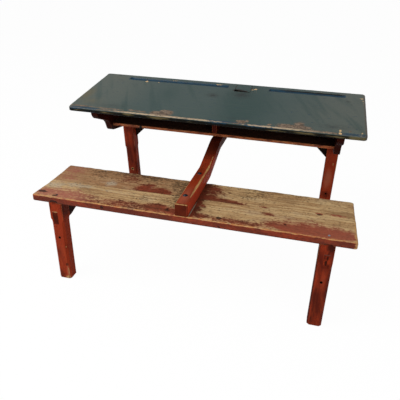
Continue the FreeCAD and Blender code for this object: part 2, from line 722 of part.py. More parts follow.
def build():
    """Every node by name, in the bench's frame: y = 0 at the seat's front edge."""
    group = Part.makeCompound
    bolts = [coach_bolt(place) for place in BOLT_PLACES]
    nodes = {}
    wedges = {"seat": [], "desk": []}
    for name, side in SIDES.items():
        leg, bracket, wedge = bench_support(side)
        nodes[f"bench_leg_{name}"] = leg.cut(group(seat_nails()))
        nodes[f"seat_bracket_{name}"] = bracket
        wedges["seat"].append(wedge)
        leg, bracket, wedge = desk_support(side)
        nodes[f"desk_leg_{name}"] = leg
        nodes[f"desk_bracket_{name}"] = bracket
        wedges["desk"].append(wedge)
        nodes[f"corner_gusset_{name}"] = tilted(make_gusset(side))
    nodes["seat_tenon_wedges"] = group(wedges["seat"])
    nodes["desk_tenon_wedges"] = group(wedges["desk"])

    nodes["bench_seat"] = make_seat()
    nodes["seat_nails"] = group(seat_nails())
    nodes["centre_arm"] = cut_all(make_arm(), bolts + [tilted(group(shelf_nails()))])
    nodes["arm_bolts"] = group(bolts)
    nodes["arm_bolt_washers"] = cut_all(group([bolt_washer(place) for place in BOLT_PLACES]), bolts)
    nodes["arm_bolt_nuts"] = cut_all(group([bolt_nut(place) for place in BOLT_PLACES]), bolts)

    nodes["desk_top"] = tilted(make_desk_top())
    nodes["book_shelf"] = tilted(cut_all(shelf_blank(), shelf_nails() + divider_nails() + back_nails()))
    nodes["shelf_divider"] = tilted(cut_all(make_divider(), divider_nails()))
    nodes["back_board"] = tilted(cut_all(back_blank(), back_nails() + [arm_tenon()]))
    nodes["arm_shelf_nails"] = tilted(group(shelf_nails()))
    nodes["divider_nails"] = tilted(group(divider_nails()))
    nodes["back_board_nails"] = tilted(group(back_nails()))

    nodes["inkwell_cup"] = tilted(make_cup())
    nodes["inkwell_flap"] = tilted(make_flap())
    nodes["flap_pivot_pin"] = tilted(make_pin())
    nodes["inkwell_block"] = tilted(cut_all(make_block(), block_nails() + [make_pin()]))
    nodes["inkwell_block_nails"] = tilted(group(block_nails()))
    return nodes


def main():
    """Move every node over the origin and write it."""
    nodes = build()
    bounds = Part.makeCompound(list(nodes.values())).optimalBoundingBox()
    to_origin = V(-bounds.Center.x, -bounds.Center.y, -bounds.ZMin)
    os.makedirs("parts", exist_ok=True)
    for name, shape in nodes.items():
        shape.translate(to_origin)
        shape.exportStep(f"parts/{name}.step")


main()
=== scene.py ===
"""Finishes and worn detail for a two-seat school bench desk, built over its solid model."""

import json
import math

import bmesh
import bpy
from mathutils import Matrix, Vector, noise


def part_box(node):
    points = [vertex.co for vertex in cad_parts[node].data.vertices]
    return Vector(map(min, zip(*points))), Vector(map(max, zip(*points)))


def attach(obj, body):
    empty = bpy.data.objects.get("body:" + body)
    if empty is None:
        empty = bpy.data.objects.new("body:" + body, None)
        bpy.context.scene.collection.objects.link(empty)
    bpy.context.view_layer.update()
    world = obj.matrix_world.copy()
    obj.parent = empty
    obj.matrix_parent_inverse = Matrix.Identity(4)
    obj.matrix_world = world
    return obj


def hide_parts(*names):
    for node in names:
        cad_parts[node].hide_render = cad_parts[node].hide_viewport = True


bl_info = {
    "name": "School bench desk",
    "version": (1, 0, 0),
    "blender": (4, 5, 0),
    "location": "3D View > Sidebar > Bench desk",
    "description": "Paints, worn wood and hardware of a two-seat school bench desk",
    "category": "Object",
}

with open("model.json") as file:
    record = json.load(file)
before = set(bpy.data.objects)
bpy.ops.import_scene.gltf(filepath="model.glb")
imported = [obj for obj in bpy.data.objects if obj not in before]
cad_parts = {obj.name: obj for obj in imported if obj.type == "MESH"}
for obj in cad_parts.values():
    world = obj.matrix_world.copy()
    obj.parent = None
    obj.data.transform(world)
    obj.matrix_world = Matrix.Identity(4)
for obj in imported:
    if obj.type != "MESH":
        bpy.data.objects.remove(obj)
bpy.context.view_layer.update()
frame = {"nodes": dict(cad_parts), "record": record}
MM = 0.001

# ---------------------------------------------------------------- places and shapes

SLOPE = math.radians(7.0)
LEAN = Matrix.Rotation(SLOPE, 3, "X")
TOP_THICKNESS = 19 * MM
# Axes of a piece: its grain is x, and y and z span its end grain.
LEG_AXES = Matrix(((0, 1, 0), (0, 0, 1), (1, 0, 0)))
BRACKET_AXES = Matrix(((0, 0, 1), (1, 0, 0), (0, 1, 0)))

# Middle and half width of what is painted by itself on the top: grooves, recess and flap.
GROOVE_ROWS = (374 * MM, 16.5 * MM)
GROOVE_LEFT = (-228 * MM, 241 * MM)
GROOVE_RIGHT = (358.5 * MM, 165 * MM)
RECESS_ACROSS = (91 * MM, 52 * MM)
RECESS_ROWS = (357 * MM, 37.5 * MM)
FLAP_ACROSS = (78 * MM, 35.5 * MM)

# Row of the crack that parts the seat's front half from its back half, in millimetres.
CRACK_LINE = 148

# Wear of the planks: places of the cuts near an edge, and how far the wood has gone.
CLOSE_CUTS = (1.5 * MM, 3.5 * MM, 6 * MM, 9 * MM)
TOP_FRONT_LOSS = 0.8 * MM
SEAT_FRONT_LOSS = 1.2 * MM
SEAT_END_SKEW = 4.5 * MM
SEAT_END_HOLLOW = 3.5 * MM
SEAT_END_FLARE = 2 * MM
SEAT_HOLLOW = 1.0 * MM
SEAT_DENT = 0.5 * MM
# Middle and half width of the two sitting hollows: across in metres, along as a share of the depth.
SITTING_ACROSS = (0.28, 0.24)
SITTING_ALONG = (0.55, 0.42)
# How far from an arris its wear reaches, and how near a point counts as on a face.
ARRIS_REACH = 9 * MM
SKIN = 0.2 * MM
# Distances and angles below which points are one, are on a cut, and faces are flat or smooth.
WELD = 0.01 * MM
ON_CUT = 0.001 * MM
FLAT = math.radians(0.5)
CREASE = math.radians(32)
# Radius that softens every painted arris, and the slant of the brush strokes on the top.
SOFT_ARRIS = 1.6 * MM
BRUSH_SLANT = math.radians(-22)

# Camera: place in metres, turn in radians, shift in frame widths.
CAMERA_PLACE = (0.41032, -1.77602, 1.19802)
CAMERA_YAW, CAMERA_PITCH, CAMERA_ROLL = -0.25203, 0.49081, -0.02145
CAMERA_SHIFT = (0.00334, 0.00648)
SENSOR_WIDTH = 36.0
# Lamps: place and side in metres, power in watts. They aim at the middle of the object.
LAMPS = {"key": ((-2.6, -2.2, 3.4), 3.6, 205.0), "fill": ((2.4, -3.0, 1.8), 2.2, 45.0)}
LAMP_AIM = Vector((0.0, 0.0, 0.45))
AMBIENT = 0.42
FLOOR_RADIUS = 60.0
FLOOR_SEEN = 0.97
WHITE = (1, 1, 1, 1)

# ---------------------------------------------------------------- marks

# A mark is an egg shape: x, y and z of its middle and its half sizes, in millimetres. Where a
# seventh number follows, it says how strongly the mark shows. On the top and the seat, x counts
# from the middle, y from the front edge and z from the surface. On legs and brackets the places
# are in the piece's own axes from its middle, and on the arm they count from its front foot.


def on_face(depth, rows):
    """Marks on an upper face, each row being x, y, half length, half width and strength."""
    return tuple((x, y, 0, half_x, half_y, depth, most) for x, y, half_x, half_y, most in rows)


FRONT_RUBS = on_face(6, [
    (-550, 19, 90, 10, 1.1), (-430, 17, 110, 8, 1.0), (-322, 23, 26, 12, 0.9),
    (-298, 22, 26, 10, 0.95), (-272, 20, 26, 12, 0.85), (-214, 22, 42, 26, 1.4),
    (-180, 30, 42, 38, 1.7), (132, 19, 34, 20, 1.3), (154, 30, 10, 14, 1.1),
    (242, 19, 14, 16, 0.9), (312, 20, 66, 28, 1.4), (354, 40, 32, 42, 1.3), (362, 20, 60, 24, 1.3),
    (440, 10, 70, 8, 0.45), (540, 28, 14, 12, 0.8),
])
PALE_CHIPS = on_face(5, [
    (-378, 349, 11, 12, 2.0), (-319, 350, 4, 8, 1.0), (504, 27, 6, 12, 2.4), (504, 6, 8, 8, 2.2),
    (582, 22, 9, 13, 0.9), (586, 358, 15, 14, 1.0), (590, 335, 8, 12, 0.8),
    (132, 366, 11, 11, 1.6), (120, 356, 8, 7, 1.3), (-245, 391, 50, 12, 0.45),
    (-45, 385, 50, 8, 0.7), (420, 393, 120, 9, 0.4), (592, 300, 8, 60, 0.4),
]) + ((-600, 3, -8, 12, 12, 12, 0.9),)
# The marks from x 60 to 115 and y 334 to 396 paint shade into the finger gap and the slits round the
# inkwell flap.
DARK_SPOTS = on_face(5, [
    (-38, 256, 54, 46, 0.65), (530, 315, 24, 24, 0.55), (545, 286, 14, 12, 0.5),
    (-529, 401, 24, 14, 0.7), (-496, 339, 18, 14, 0.4), (115, 362, 6, 18, 1.6),
    (112, 396, 5, 7, 1.2), (60, 336, 34, 20, 2.2), (86, 334, 26, 9, 1.6), (82, 290, 90, 90, 0.62),
    (-430, 48, 230, 60, 0.4), (480, 55, 150, 60, 0.45), (100, 45, 170, 30, 0.35),
    (-330, 386, 150, 16, 0.35),
])
TEAL_DEPTHS = on_face(9, [
    (120, 200, 190, 430, 1.25), (110, 260, 90, 160, 1.6), (-240, 230, 110, 220, 0.6),
])
OLIVE_STAINS = on_face(5, [
    (-585, 150, 60, 130, 0.9), (-530, 80, 90, 80, 0.6), (-520, 370, 110, 50, 0.35),
])
BLUE_ON_EDGE = (
    (-522, 6, -1, 90, 9, 7, 1.4), (-565, 0, -4, 60, 8, 5, 1.2), (200, 0, -3, 120, 12, 7, 1.1),
    (60, 6, 0, 110, 8, 6, 0.9), (40, 0, -5, 110, 12, 6, 0.7), (555, 6, -1, 70, 14, 6, 1.1),
)
ARRIS_LINE = (
    (-190, 2, -2, 260, 22, 22, 1.4), (-20, 2, -2, 130, 22, 22, 1.1),
    (270, 2, -2, 190, 22, 22, 1.3), (-560, 2, -2, 60, 22, 22, 0.3), (580, 2, -2, 60, 22, 22, 0.3),
)
EDGE_BROWN = (
    (-560, 0, -11, 50, 10, 8, 0.6), (-430, 0, -12, 70, 10, 8, 0.7), (-335, 0, -10, 40, 10, 8, 1.1),
    (-205, 0, -11, 80, 10, 9, 1.1), (-60, 0, -15, 60, 10, 5, 0.6), (270, 0, -14, 60, 10, 6, 0.8),
    (380, 0, -12, 90, 10, 8, 0.9), (500, 0, -13, 80, 10, 7, 0.8), (572, 0, -11, 60, 12, 9, 1.6),
)

SEAT_RED = on_face(9, [
    (-480, 36, 230, 68, 0.8), (-560, 38, 90, 56, 0.9), (-400, 16, 160, 22, 0.9),
    (-230, 28, 250, 52, 0.76), (-110, 34, 90, 50, 1.3), (-545, 180, 90, 80, 0.42),
    (-555, 250, 110, 90, 0.5), (-48, 26, 40, 40, 1.6), (24, 150, 26, 300, 1.7),
    (60, 250, 60, 60, 0.9), (60, 220, 80, 50, 0.8), (48, 102, 24, 20, 1.1), (40, 72, 20, 18, 1.1),
    (58, 28, 50, 30, 1.1), (200, 22, 230, 30, 0.84), (318, 44, 60, 32, 1.1),
    (440, 44, 230, 76, 0.95), (480, 34, 190, 44, 2.0), (390, 32, 90, 42, 1.9),
    (548, 38, 70, 40, 2.0), (290, 112, 34, 18, 0.95), (268, 160, 30, 10, 0.9),
    (540, 170, 52, 15, 0.72), (470, 166, 20, 9, 1.3),
])
# Paint that the crack kept from being scrubbed off, all of it behind the crack.
SEAT_RED_BEHIND = on_face(9, [
    (-142, 156, 66, 54, 2.0), (-205, 172, 60, 56, 1.35), (-192, 205, 34, 28, 1.1),
    (-290, 240, 90, 90, 0.5), (100, 156, 130, 34, 1.8), (56, 166, 60, 50, 1.5),
])
# Knots, the last four of them on the seat's front edge.
SEAT_KNOTS = on_face(6, [
    (126, 31, 14, 12, 2.0), (358, 53, 8, 7, 1.6), (-330, 16, 11, 7, 1.2), (-577, 38, 34, 18, 1.3),
    (-514, 18, 18, 12, 1.3), (470, 160, 16, 10, 1.4), (-68, 34, 20, 30, 0.9),
]) + (
    (-511, 0, -19, 22, 8, 8, 2.4), (-312, 0, -12, 11, 8, 10, 1.5), (134, 0, -18, 9, 8, 5, 1.5),
    (506, 0, -23, 20, 8, 6, 1.6),
)
SEAT_PALE = on_face(6, [
    (-560, 100, 80, 56, 0.95), (-470, 122, 130, 32, 1.0), (-351, 176, 36, 38, 1.3),
    (-186, 185, 10, 50, 1.2), (-300, 115, 220, 34, 0.5),
])
SEAT_DIRT = on_face(6, [
    (-34, 200, 66, 260, 1.6), (-84, 235, 80, 130, 1.0),
    (-100, 90, 60, 60, 0.75), (-250, 285, 260, 80, 1.1), (-420, 260, 150, 80, 0.7),
    (230, 270, 150, 60, 0.8), (200, 225, 120, 50, 0.8), (-190, 98, 80, 40, 0.6),
    (420, 280, 150, 40, 0.5),
]) + ((192, 264, 0, 60, 22, 9, 0.7),)
# Pale line where the arm's right side meets the seat.
ARM_FOOT_LINE = ((21, 60, 0, 3.5, 90, 6, 1.6),)
# Dark patch painted as the shade of a notch in the shelf's front edge.
SHELF_NOTCH_SHADE = ((-364, 0, 4, 7, 8, 9),)

# What differs from leg to leg. Their front faces are at z = -26. On a bench leg the paint is kept
# round the tenon that comes through it.
BENCH_LEG = {"wear": -0.35, "dirt": 0.6, "kept": ((111, 0, -24, 46, 20, 14), (111, 0, 24, 46, 20, 14))}
DESK_LEG = {"wear": -0.5, "dirt": 0.5}
LEGS = {
    "bench_leg_left": BENCH_LEG | {
        "tone": 0.8,
        "bare": ((-172, 17, -26, 9, 12, 6), (-142, 20, -26, 24, 1.6, 4), (-22, 23, -26, 5, 3, 5)),
        "faded": ((-150, 19, -26, 62, 9, 7, 1.8), (-40, 0, -26, 170, 40, 9, 0.35)),
        "stains_and_shade": (
            (-107, 16, -26, 12, 9, 8, 1.6), (158, -25, -24, 30, 9, 12, 1.4),
            (-172, -14, -26, 70, 26, 9, 1.1), (184, 0, -26, 22, 50, 14, 1.4),
            # Painted shade: this mark darkens the top of the right face, under the seat.
            (170, 27, 2, 80, 9, 60, 2.4),
        ),
    },
    "bench_leg_right": BENCH_LEG | {
        "tone": 0.4,
        "bare": ((-70, 26, -25, 60, 1.0, 4),),
        "faded": ((30, 4, -26, 90, 18, 7, 0.45),),
        "stains_and_shade": (
            (128, 8, -26, 34, 5, 8, 1.8), (168, 14, -26, 30, 24, 9, 1.5),
            (184, 0, -26, 20, 50, 14, 1.2), (-200, 0, -26, 300, 60, 40, 0.55),
            # Painted shade: the first mark here darkens the whole inner face.
            (0, -27, 0, 900, 7, 120, 1.7), (-150, -14, -26, 50, 10, 9, 0.9),
        ),
    },
    "desk_leg_left": DESK_LEG | {
        "tone": 0.35,
        # Painted light: the bright mark lightens the right face.
        "bright": ((-40, 28, 0, 260, 8, 60, 0.55),),
        "stains_and_shade": ((-220, 10, -26, 170, 40, 12, 1.0),),
    },
    "desk_leg_right": DESK_LEG | {
        "tone": 0.85,
        "bare": ((-40, 26, -26, 90, 1.5, 5), (14, 11, -26, 6, 2.5, 5), (-190, -26, -26, 60, 1.5, 5)),
        "faded": ((-66, -4, -26, 84, 27, 9, 1.25),),
        "stains_and_shade": (
            # Painted shade: the first mark here darkens the inner front arris.
            (0, -27, -24, 500, 5, 12, 1.0), (160, 0, -26, 130, 60, 20, 1.6),
            (-158, 0, -26, 34, 40, 9, 1.3),
        ),
    },
}
# Half sizes of the painted shade inside each leg's hole, and of the pale end in the one hole that is
# filled.
HOLE_SHADE = (6, 6, 60)
PEG_ROUND = (9, 9, 50)
PEGGED_LEG = "desk_leg_left"

# Under the seat the brackets are painted dark all over as shade (the first mark of each); their tenons'
# ends, in front, are dirty.
SEAT_BRACKET_SHADE_AND_STAINS = {
    "left": ((90, 0, 0, 190, 200, 60, 4.0), (-138, -20, 0, 30, 60, 40, 0.95)),
    "right": (
        (90, 0, 0, 190, 200, 60, 1.5), (-134, -6, 1.5, 9, 11, 4, 3.2), (-134, -26, -2, 9, 14, 5, 3.0),
    ),
}
SEAT_BRACKET_KEPT = ((-150, 0, 0, 34, 90, 40), (160, 0, 0, 60, 90, 40))
# Painted shade: the desk brackets, under the top, are darkened all over.
DESK_BRACKET_SHADE = ((0, 0, 0, 900, 900, 900, 4.0),)

# Rubs run along the arm's right arris, round its nose, along its left arris and along its foot.
ARM_MARKS = {
    "bare": (
        (91, 47, 16.5, 30, 5, 2.5), (121, 47, 16.5, 34, 5, 4), (156, 47, 16.5, 36, 5, 5.5),
        (196, 47, 16.5, 40, 5, 5), (236, 47, 16.5, 40, 5, 3.5), (281, 47, 16.5, 40, 5, 3.5),
        (321, 47, 16.5, 26, 5, 5), (341, 48, 16.5, 26, 5, 4), (371, 55, 16.5, 30, 5, 2.6),
        (401, 64, 16.5, 26, 5, 1.8), (1.5, 46, -14, 2.0, 1.8, 10), (1.5, 46, 4, 2.0, 1.8, 9),
        (1.5, 46, 19, 2.0, 1.8, 6), (110, 46.5, -22.5, 130, 2, 2.5), (90, 0.5, 23, 110, 1.5, 3),
    ),
    "stains_and_shade": (
        (0, 22, 0, 9, 60, 60, 4.0), (560, 100, 0, 250, 160, 90, 1.7), (300, 50, -6, 190, 14, 26, 0.75),
    ),
    "faded": ((60, 47, -4, 150, 9, 40, 1.0),),
    # Painted light: the bright marks lighten the arm's right face.
    "bright": ((130, 22, 24, 330, 50, 7, 1.6), (440, 50, 24, 200, 60, 7, 1.0)),
    "kept": ((0, 18, 0, 14, 24, 60),),
}

STEEL_NODES = (
    "seat_nails", "back_board_nails", "divider_nails", "arm_shelf_nails", "inkwell_block_nails",
    "arm_bolts", "arm_bolt_washers", "arm_bolt_nuts", "flap_pivot_pin",
)

# ---------------------------------------------------------------- what a user would change


def linear(hex_colour):
    """Linear RGBA of an sRGB hex value such as "#7a3322"."""
    channels = [int(hex_colour[i : i + 2], 16) / 255 for i in (1, 3, 5)]
    return [c / 12.92 if c <= 0.04045 else ((c + 0.055) / 1.055) ** 2.4 for c in channels] + [1.0]


def colour(label, text, hex_colour):
    """A colour property with its default given as sRGB hex."""
    return bpy.props.FloatVectorProperty(
        name=label, description=text, subtype="COLOR", size=4, min=0, max=1, default=linear(hex_colour)
    )


def length(label, text, value):
    """A length property in metres."""
    return bpy.props.FloatProperty(name=label, description=text, default=value, min=0, unit="LENGTH")


class BenchDeskColours(bpy.types.PropertyGroup):
    """Colours of the paints, bare wood and hardware."""

    oxblood: colour("Oxblood paint", "Body of the red-brown paint on the frame", "#7d2a14")
    oxblood_dark: colour("Oxblood, dark", "Handled and dirty areas of the red-brown paint", "#47150c")
    oxblood_light: colour("Oxblood, rubbed", "Where the red-brown paint is rubbed thin", "#a04a22")
    # Painted light: lightens the right faces of the arm and of the left desk leg.
    oxblood_painted_light: colour("Oxblood, clean", "Sheltered, clean red-brown paint", "#b04028")
    oxblood_faded: colour("Oxblood, faded", "Sun-bleached, dusty red-brown paint", "#93503a")
    bare: colour("Bare wood", "Softwood where the paint has gone", "#b08755")
    bare_dark: colour("Bare wood, dirty", "Old handled softwood", "#6a4b31")
    slate: colour("Slate paint", "Body of the grey-green paint on the top", "#384744")
    slate_dark: colour("Slate paint, dark", "Deep areas of the grey-green paint", "#223a37")
    # Also laid towards the ends of the top, there as painted reflection of its sheen as well as chalk.
    slate_grey: colour("Slate paint, grey", "Chalky areas of the grey-green paint", "#4d534c")
    # Also paints the front face of the top, the far side of a groove and the finger gap nearly black as
    # shade.
    slate_edge: colour("Slate paint, edge", "Dirty paint on the front edge of the top", "#100e0b")
    olive: colour("Olive varnish", "Yellowed varnish left on the paint", "#5c5236")
    groove_blue: colour("Groove paint", "Blue paint in the pencil grooves and along the edge", "#143344")
    rubbed: colour("Rubbed edge", "Greyed wood and primer along the front of the top", "#8c7764")
    arris_pale: colour("Arris of the top", "Bare wood along the front arris of the top", "#a08d74")
    rub_dark: colour("Rubbed edge, dark", "Dirty wood along the front of the top", "#4c3f35")
    seat: colour("Seat wood", "Weathered softwood of the seat", "#9c7952")
    seat_pale: colour("Seat wood, pale", "Scrubbed early wood", "#b99b70")
    seat_brown: colour("Seat wood, brown", "Old stain on the back half of the seat", "#7c4f37")
    seat_dark: colour("Seat wood, dark", "Late wood and dirt in the grain", "#4d3925")
    seat_grey: colour("Seat wood, grey", "Greyed, water-marked wood", "#a59a86")
    seat_red: colour("Seat paint", "Remains of red paint on the seat", "#7d3422")
    seat_red_dark: colour("Seat paint, dark", "Sheltered red paint by the arm", "#4e1e12")
    # Painted reflection: this lighter, pinker red towards the right end stands for the sheen of the paint.
    seat_red_sheen: colour("Seat paint, pale", "Sun-bleached red paint at the right", "#8c4635")
    seat_red_faded: colour("Seat paint, faded", "Dusty, worn red paint at the left end", "#a06250")
    # Part stain and part painted shade: the dark brown of the book space.
    inside: colour("Inside wood", "Dark stained wood of the book space", "#41271b")
    # Black: dirt in cracks and knots, and painted shade in holes, gaps, the inkwell recess, the gussets
    # and under the seat and top.
    shade: colour("Dirt", "Black dirt in cracks, gaps and knots", "#120a07")
    steel: colour("Steel", "Oxidised steel of bolts and nails", "#343b46")
    steel_dark: colour("Steel, dark", "Thickest oxide on the steel", "#101216")
    # Painted highlight on the nail heads near the right end of the seat.
    steel_highlight: colour("Steel, bright", "Nail heads polished by sitting", "#a9b4c4")
    rust: colour("Rust", "Rust in the pits of the steel", "#4a2a1a")
    stoneware: colour("Stoneware", "Glaze of the inkwell", "#2b211b")
    stoneware_pale: colour("Stoneware, pale", "Where the glaze of the inkwell is thin", "#5a4634")
    floor: colour("Floor", "Matt floor under the desk", "#efefee")


class BenchDeskSizes(bpy.types.PropertyGroup):
    """Sizes of the grain, the wear and the camera."""

    ring_pitch: length("Ring pitch", "Distance between growth rings on a sawn face", 9 * MM)
    fibre: length("Fibre width", "Width of the finest streaks in the wood", 1.6 * MM)
    arris_wear: length("Arris wear", "Width of the rubbed band along an arris", 3.0 * MM)
    arris_loss: length("Arris loss", "Most wood lost at an upper arris of the top and the seat", 1.8 * MM)
    net_pitch: length("Net pitch", "Spacing of the cuts that let a plank be worn", 9 * MM)
    camera_lens: bpy.props.FloatProperty(
        name="Lens", description="Focal length on a 36 mm sensor", default=41.6, min=10, unit="CAMERA"
    )


# ---------------------------------------------------------------- node helper and patterns

SMOOTH = {"interpolation_type": "SMOOTHSTEP"}
COLOURS = {"data_type": "RGBA", "clamp_factor": True}
PLACED = {"vector_type": "TEXTURE"}
# The two inputs of a Mix node that take colours.
A, B = 6, 7


def add(tree, kind, settings=None, links=None):
    """Add a node, set its properties (a word alone is its operation) and set or link its inputs.

    The inputs come by name or number, or as a tuple that starts at the first one.
    """
    made = tree.nodes.new("ShaderNode" + kind)
    if isinstance(settings, str):
        settings = {"operation": settings}
    for name, value in (settings or {}).items():
        setattr(made, name, value)
    if isinstance(links, tuple):
        links = dict(enumerate(links))
    for name, value in (links or {}).items():
        if isinstance(value, bpy.types.NodeSocket):
            tree.links.new(value, made.inputs[name])
        else:
            made.inputs[name].default_value = value
    return next((socket for socket in made.outputs if socket.enabled), None)


def start_material(name):
    """New empty material and its node tree."""
    material = bpy.data.materials.new(name)
    material.use_nodes = True
    material.node_tree.nodes.clear()
    return material, material.node_tree


def start_finish(name, centre=(0.0, 0.0, 0.0), turn=(0.0, 0.0, 0.0)):
    """The colours, a new material, its node tree, and places in metres about a centre in turned axes."""
    material, tree = start_material(name)
    place = add(tree, "TexCoord").node.outputs["Object"]
    space = add(tree, "Mapping", PLACED, {"Vector": place, "Location": centre, "Rotation": turn})
    return bpy.context.scene.bench_desk_colours, material, tree, space


def noise_of(tree, space, size, detail, rough, shift):
    """Noise whose features measure size (x, y, z) in millimetres, from 0 to 1 about 0.5."""
    scale = [1 / (MM * s) for s in size]
    place = add(tree, "Mapping", None, {"Vector": space, "Scale": scale, "Location": [shift] * 3})
    links = {"Vector": place, "Scale": 1.0, "Detail": detail, "Roughness": rough}
    return add(tree, "TexNoise", None, links)


def cover(tree, under, over, pattern, most=1.0, low=0.0, high=1.0):
    """One colour laid over another, up to most of its strength, as a pattern goes from low to high."""
    share = add(tree, "MapRange", SMOOTH, {0: pattern, 1: low, 2: high, 4: most})
    return add(tree, "Mix", COLOURS, {0: share, A: under, B: over})


def coats(tree, under, layers):
    """Colours laid over each other; a layer is what cover takes after the colour under it."""
    for layer in layers:
        under = cover(tree, under, *layer)
    return under


def within(tree, *limits, most=1.0):
    """Product of masks and ramps, a ramp being a length and the two places in mm where it is 0 and 1."""
    share = most
    for limit in limits:
        if isinstance(limit, tuple):
            value, start, end = limit
            limit = add(tree, "MapRange", SMOOTH, (value, start * MM, end * MM))
        share = add(tree, "Math", "MULTIPLY", (share, limit))
    return share


def blend_of(tree, first, second, share=0.5):
    """Weighted mean of two patterns."""
    scaled = add(tree, "Math", "MULTIPLY", (second, share))
    return add(tree, "Math", "MULTIPLY_ADD", (first, 1 - share, scaled))


def arris_mask(tree, width, ragged, low, high):
    """1 along arrises within width, broken up by a pattern."""
    soft = add(tree, "Bevel", {"samples": 8}, {"Radius": width})
    sharp = add(tree, "NewGeometry").node.outputs["Normal"]
    same = add(tree, "VectorMath", "DOT_PRODUCT", (soft, sharp))
    bend = add(tree, "Math", "SUBTRACT", (1.0, same))
    strength = add(tree, "Math", "MULTIPLY_ADD", (bend, 7.0, ragged))
    return add(tree, "MapRange", SMOOTH, (strength, low, high))


def reach_of(tree, space, mark):
    """How far out a place is in a mark: 0 at the mark's middle, 1 at its rim."""
    centre, size = [c * MM for c in mark[:3]], [c * MM for c in mark[3:6]]
    place = add(tree, "Mapping", PLACED, {"Vector": space, "Location": centre, "Scale": size})
    return add(tree, "VectorMath", "LENGTH", (place,))


def patches(tree, space, marks, ragged, amount, soft=0.25):
    """1 inside marks of six numbers, their rims broken by a pattern."""
    nearest = 4.0
    for mark in marks:
        nearest = add(tree, "Math", "MINIMUM", (nearest, reach_of(tree, space, mark)))
    pushed = add(tree, "Math", "MULTIPLY_ADD", (ragged, 2 * amount, -amount))
    edge = add(tree, "Math", "ADD", (nearest, pushed))
    return add(tree, "MapRange", SMOOTH, (edge, 1.0 + soft, 1.0 - soft))


def worn_field(tree, space, marks):
    """Each mark's own strength, its seventh number, at its middle, falling to 0 at its rim."""
    field = 0.0
    for mark in marks:
        strength = mark[6]
        reach = reach_of(tree, space, mark)
        share = add(tree, "Math", "MULTIPLY_ADD", (reach, -strength, strength))
        field = add(tree, "Math", "MAXIMUM", (field, share))
    return field


def broken(tree, field, pattern, amount, low, high):
    """A field made ragged by a pattern and turned to a mask that goes from 0 at low to 1 at high."""
    pushed = add(tree, "Math", "MULTIPLY_ADD", (pattern, amount, -0.5 * amount))
    whole = add(tree, "Math", "ADD", (field, pushed))
    return add(tree, "MapRange", SMOOTH, (whole, low, high))


def worn_mask(tree, space, marks, *ragged):
    """Marks of seven numbers as a ragged mask; ragged is what broken takes after the field."""
    return broken(tree, worn_field(tree, space, marks), *ragged)


def painted_surface(tree, colour_socket, rough, height, depth, gloss=0.25):
    """Paint or wood with softened arrises; rough is a socket, or a pattern and what it ranges over."""
    if isinstance(rough, tuple):
        pattern, low, high = rough
        rough = add(tree, "MapRange", None, {0: pattern, 3: low, 4: high})
    soft = add(tree, "Bevel", {"samples": 6}, {"Radius": SOFT_ARRIS})
    relief = {"Strength": 1.0, "Distance": depth * MM, "Height": height, "Normal": soft}
    links = {"Base Color": colour_socket, "Roughness": rough, "IOR": 1.48}
    links["Normal"] = add(tree, "Bump", None, relief)
    links["Specular IOR Level"] = gloss
    add(tree, "OutputMaterial", None, {"Surface": add(tree, "BsdfPrincipled", None, links)})


# ---------------------------------------------------------------- finishes


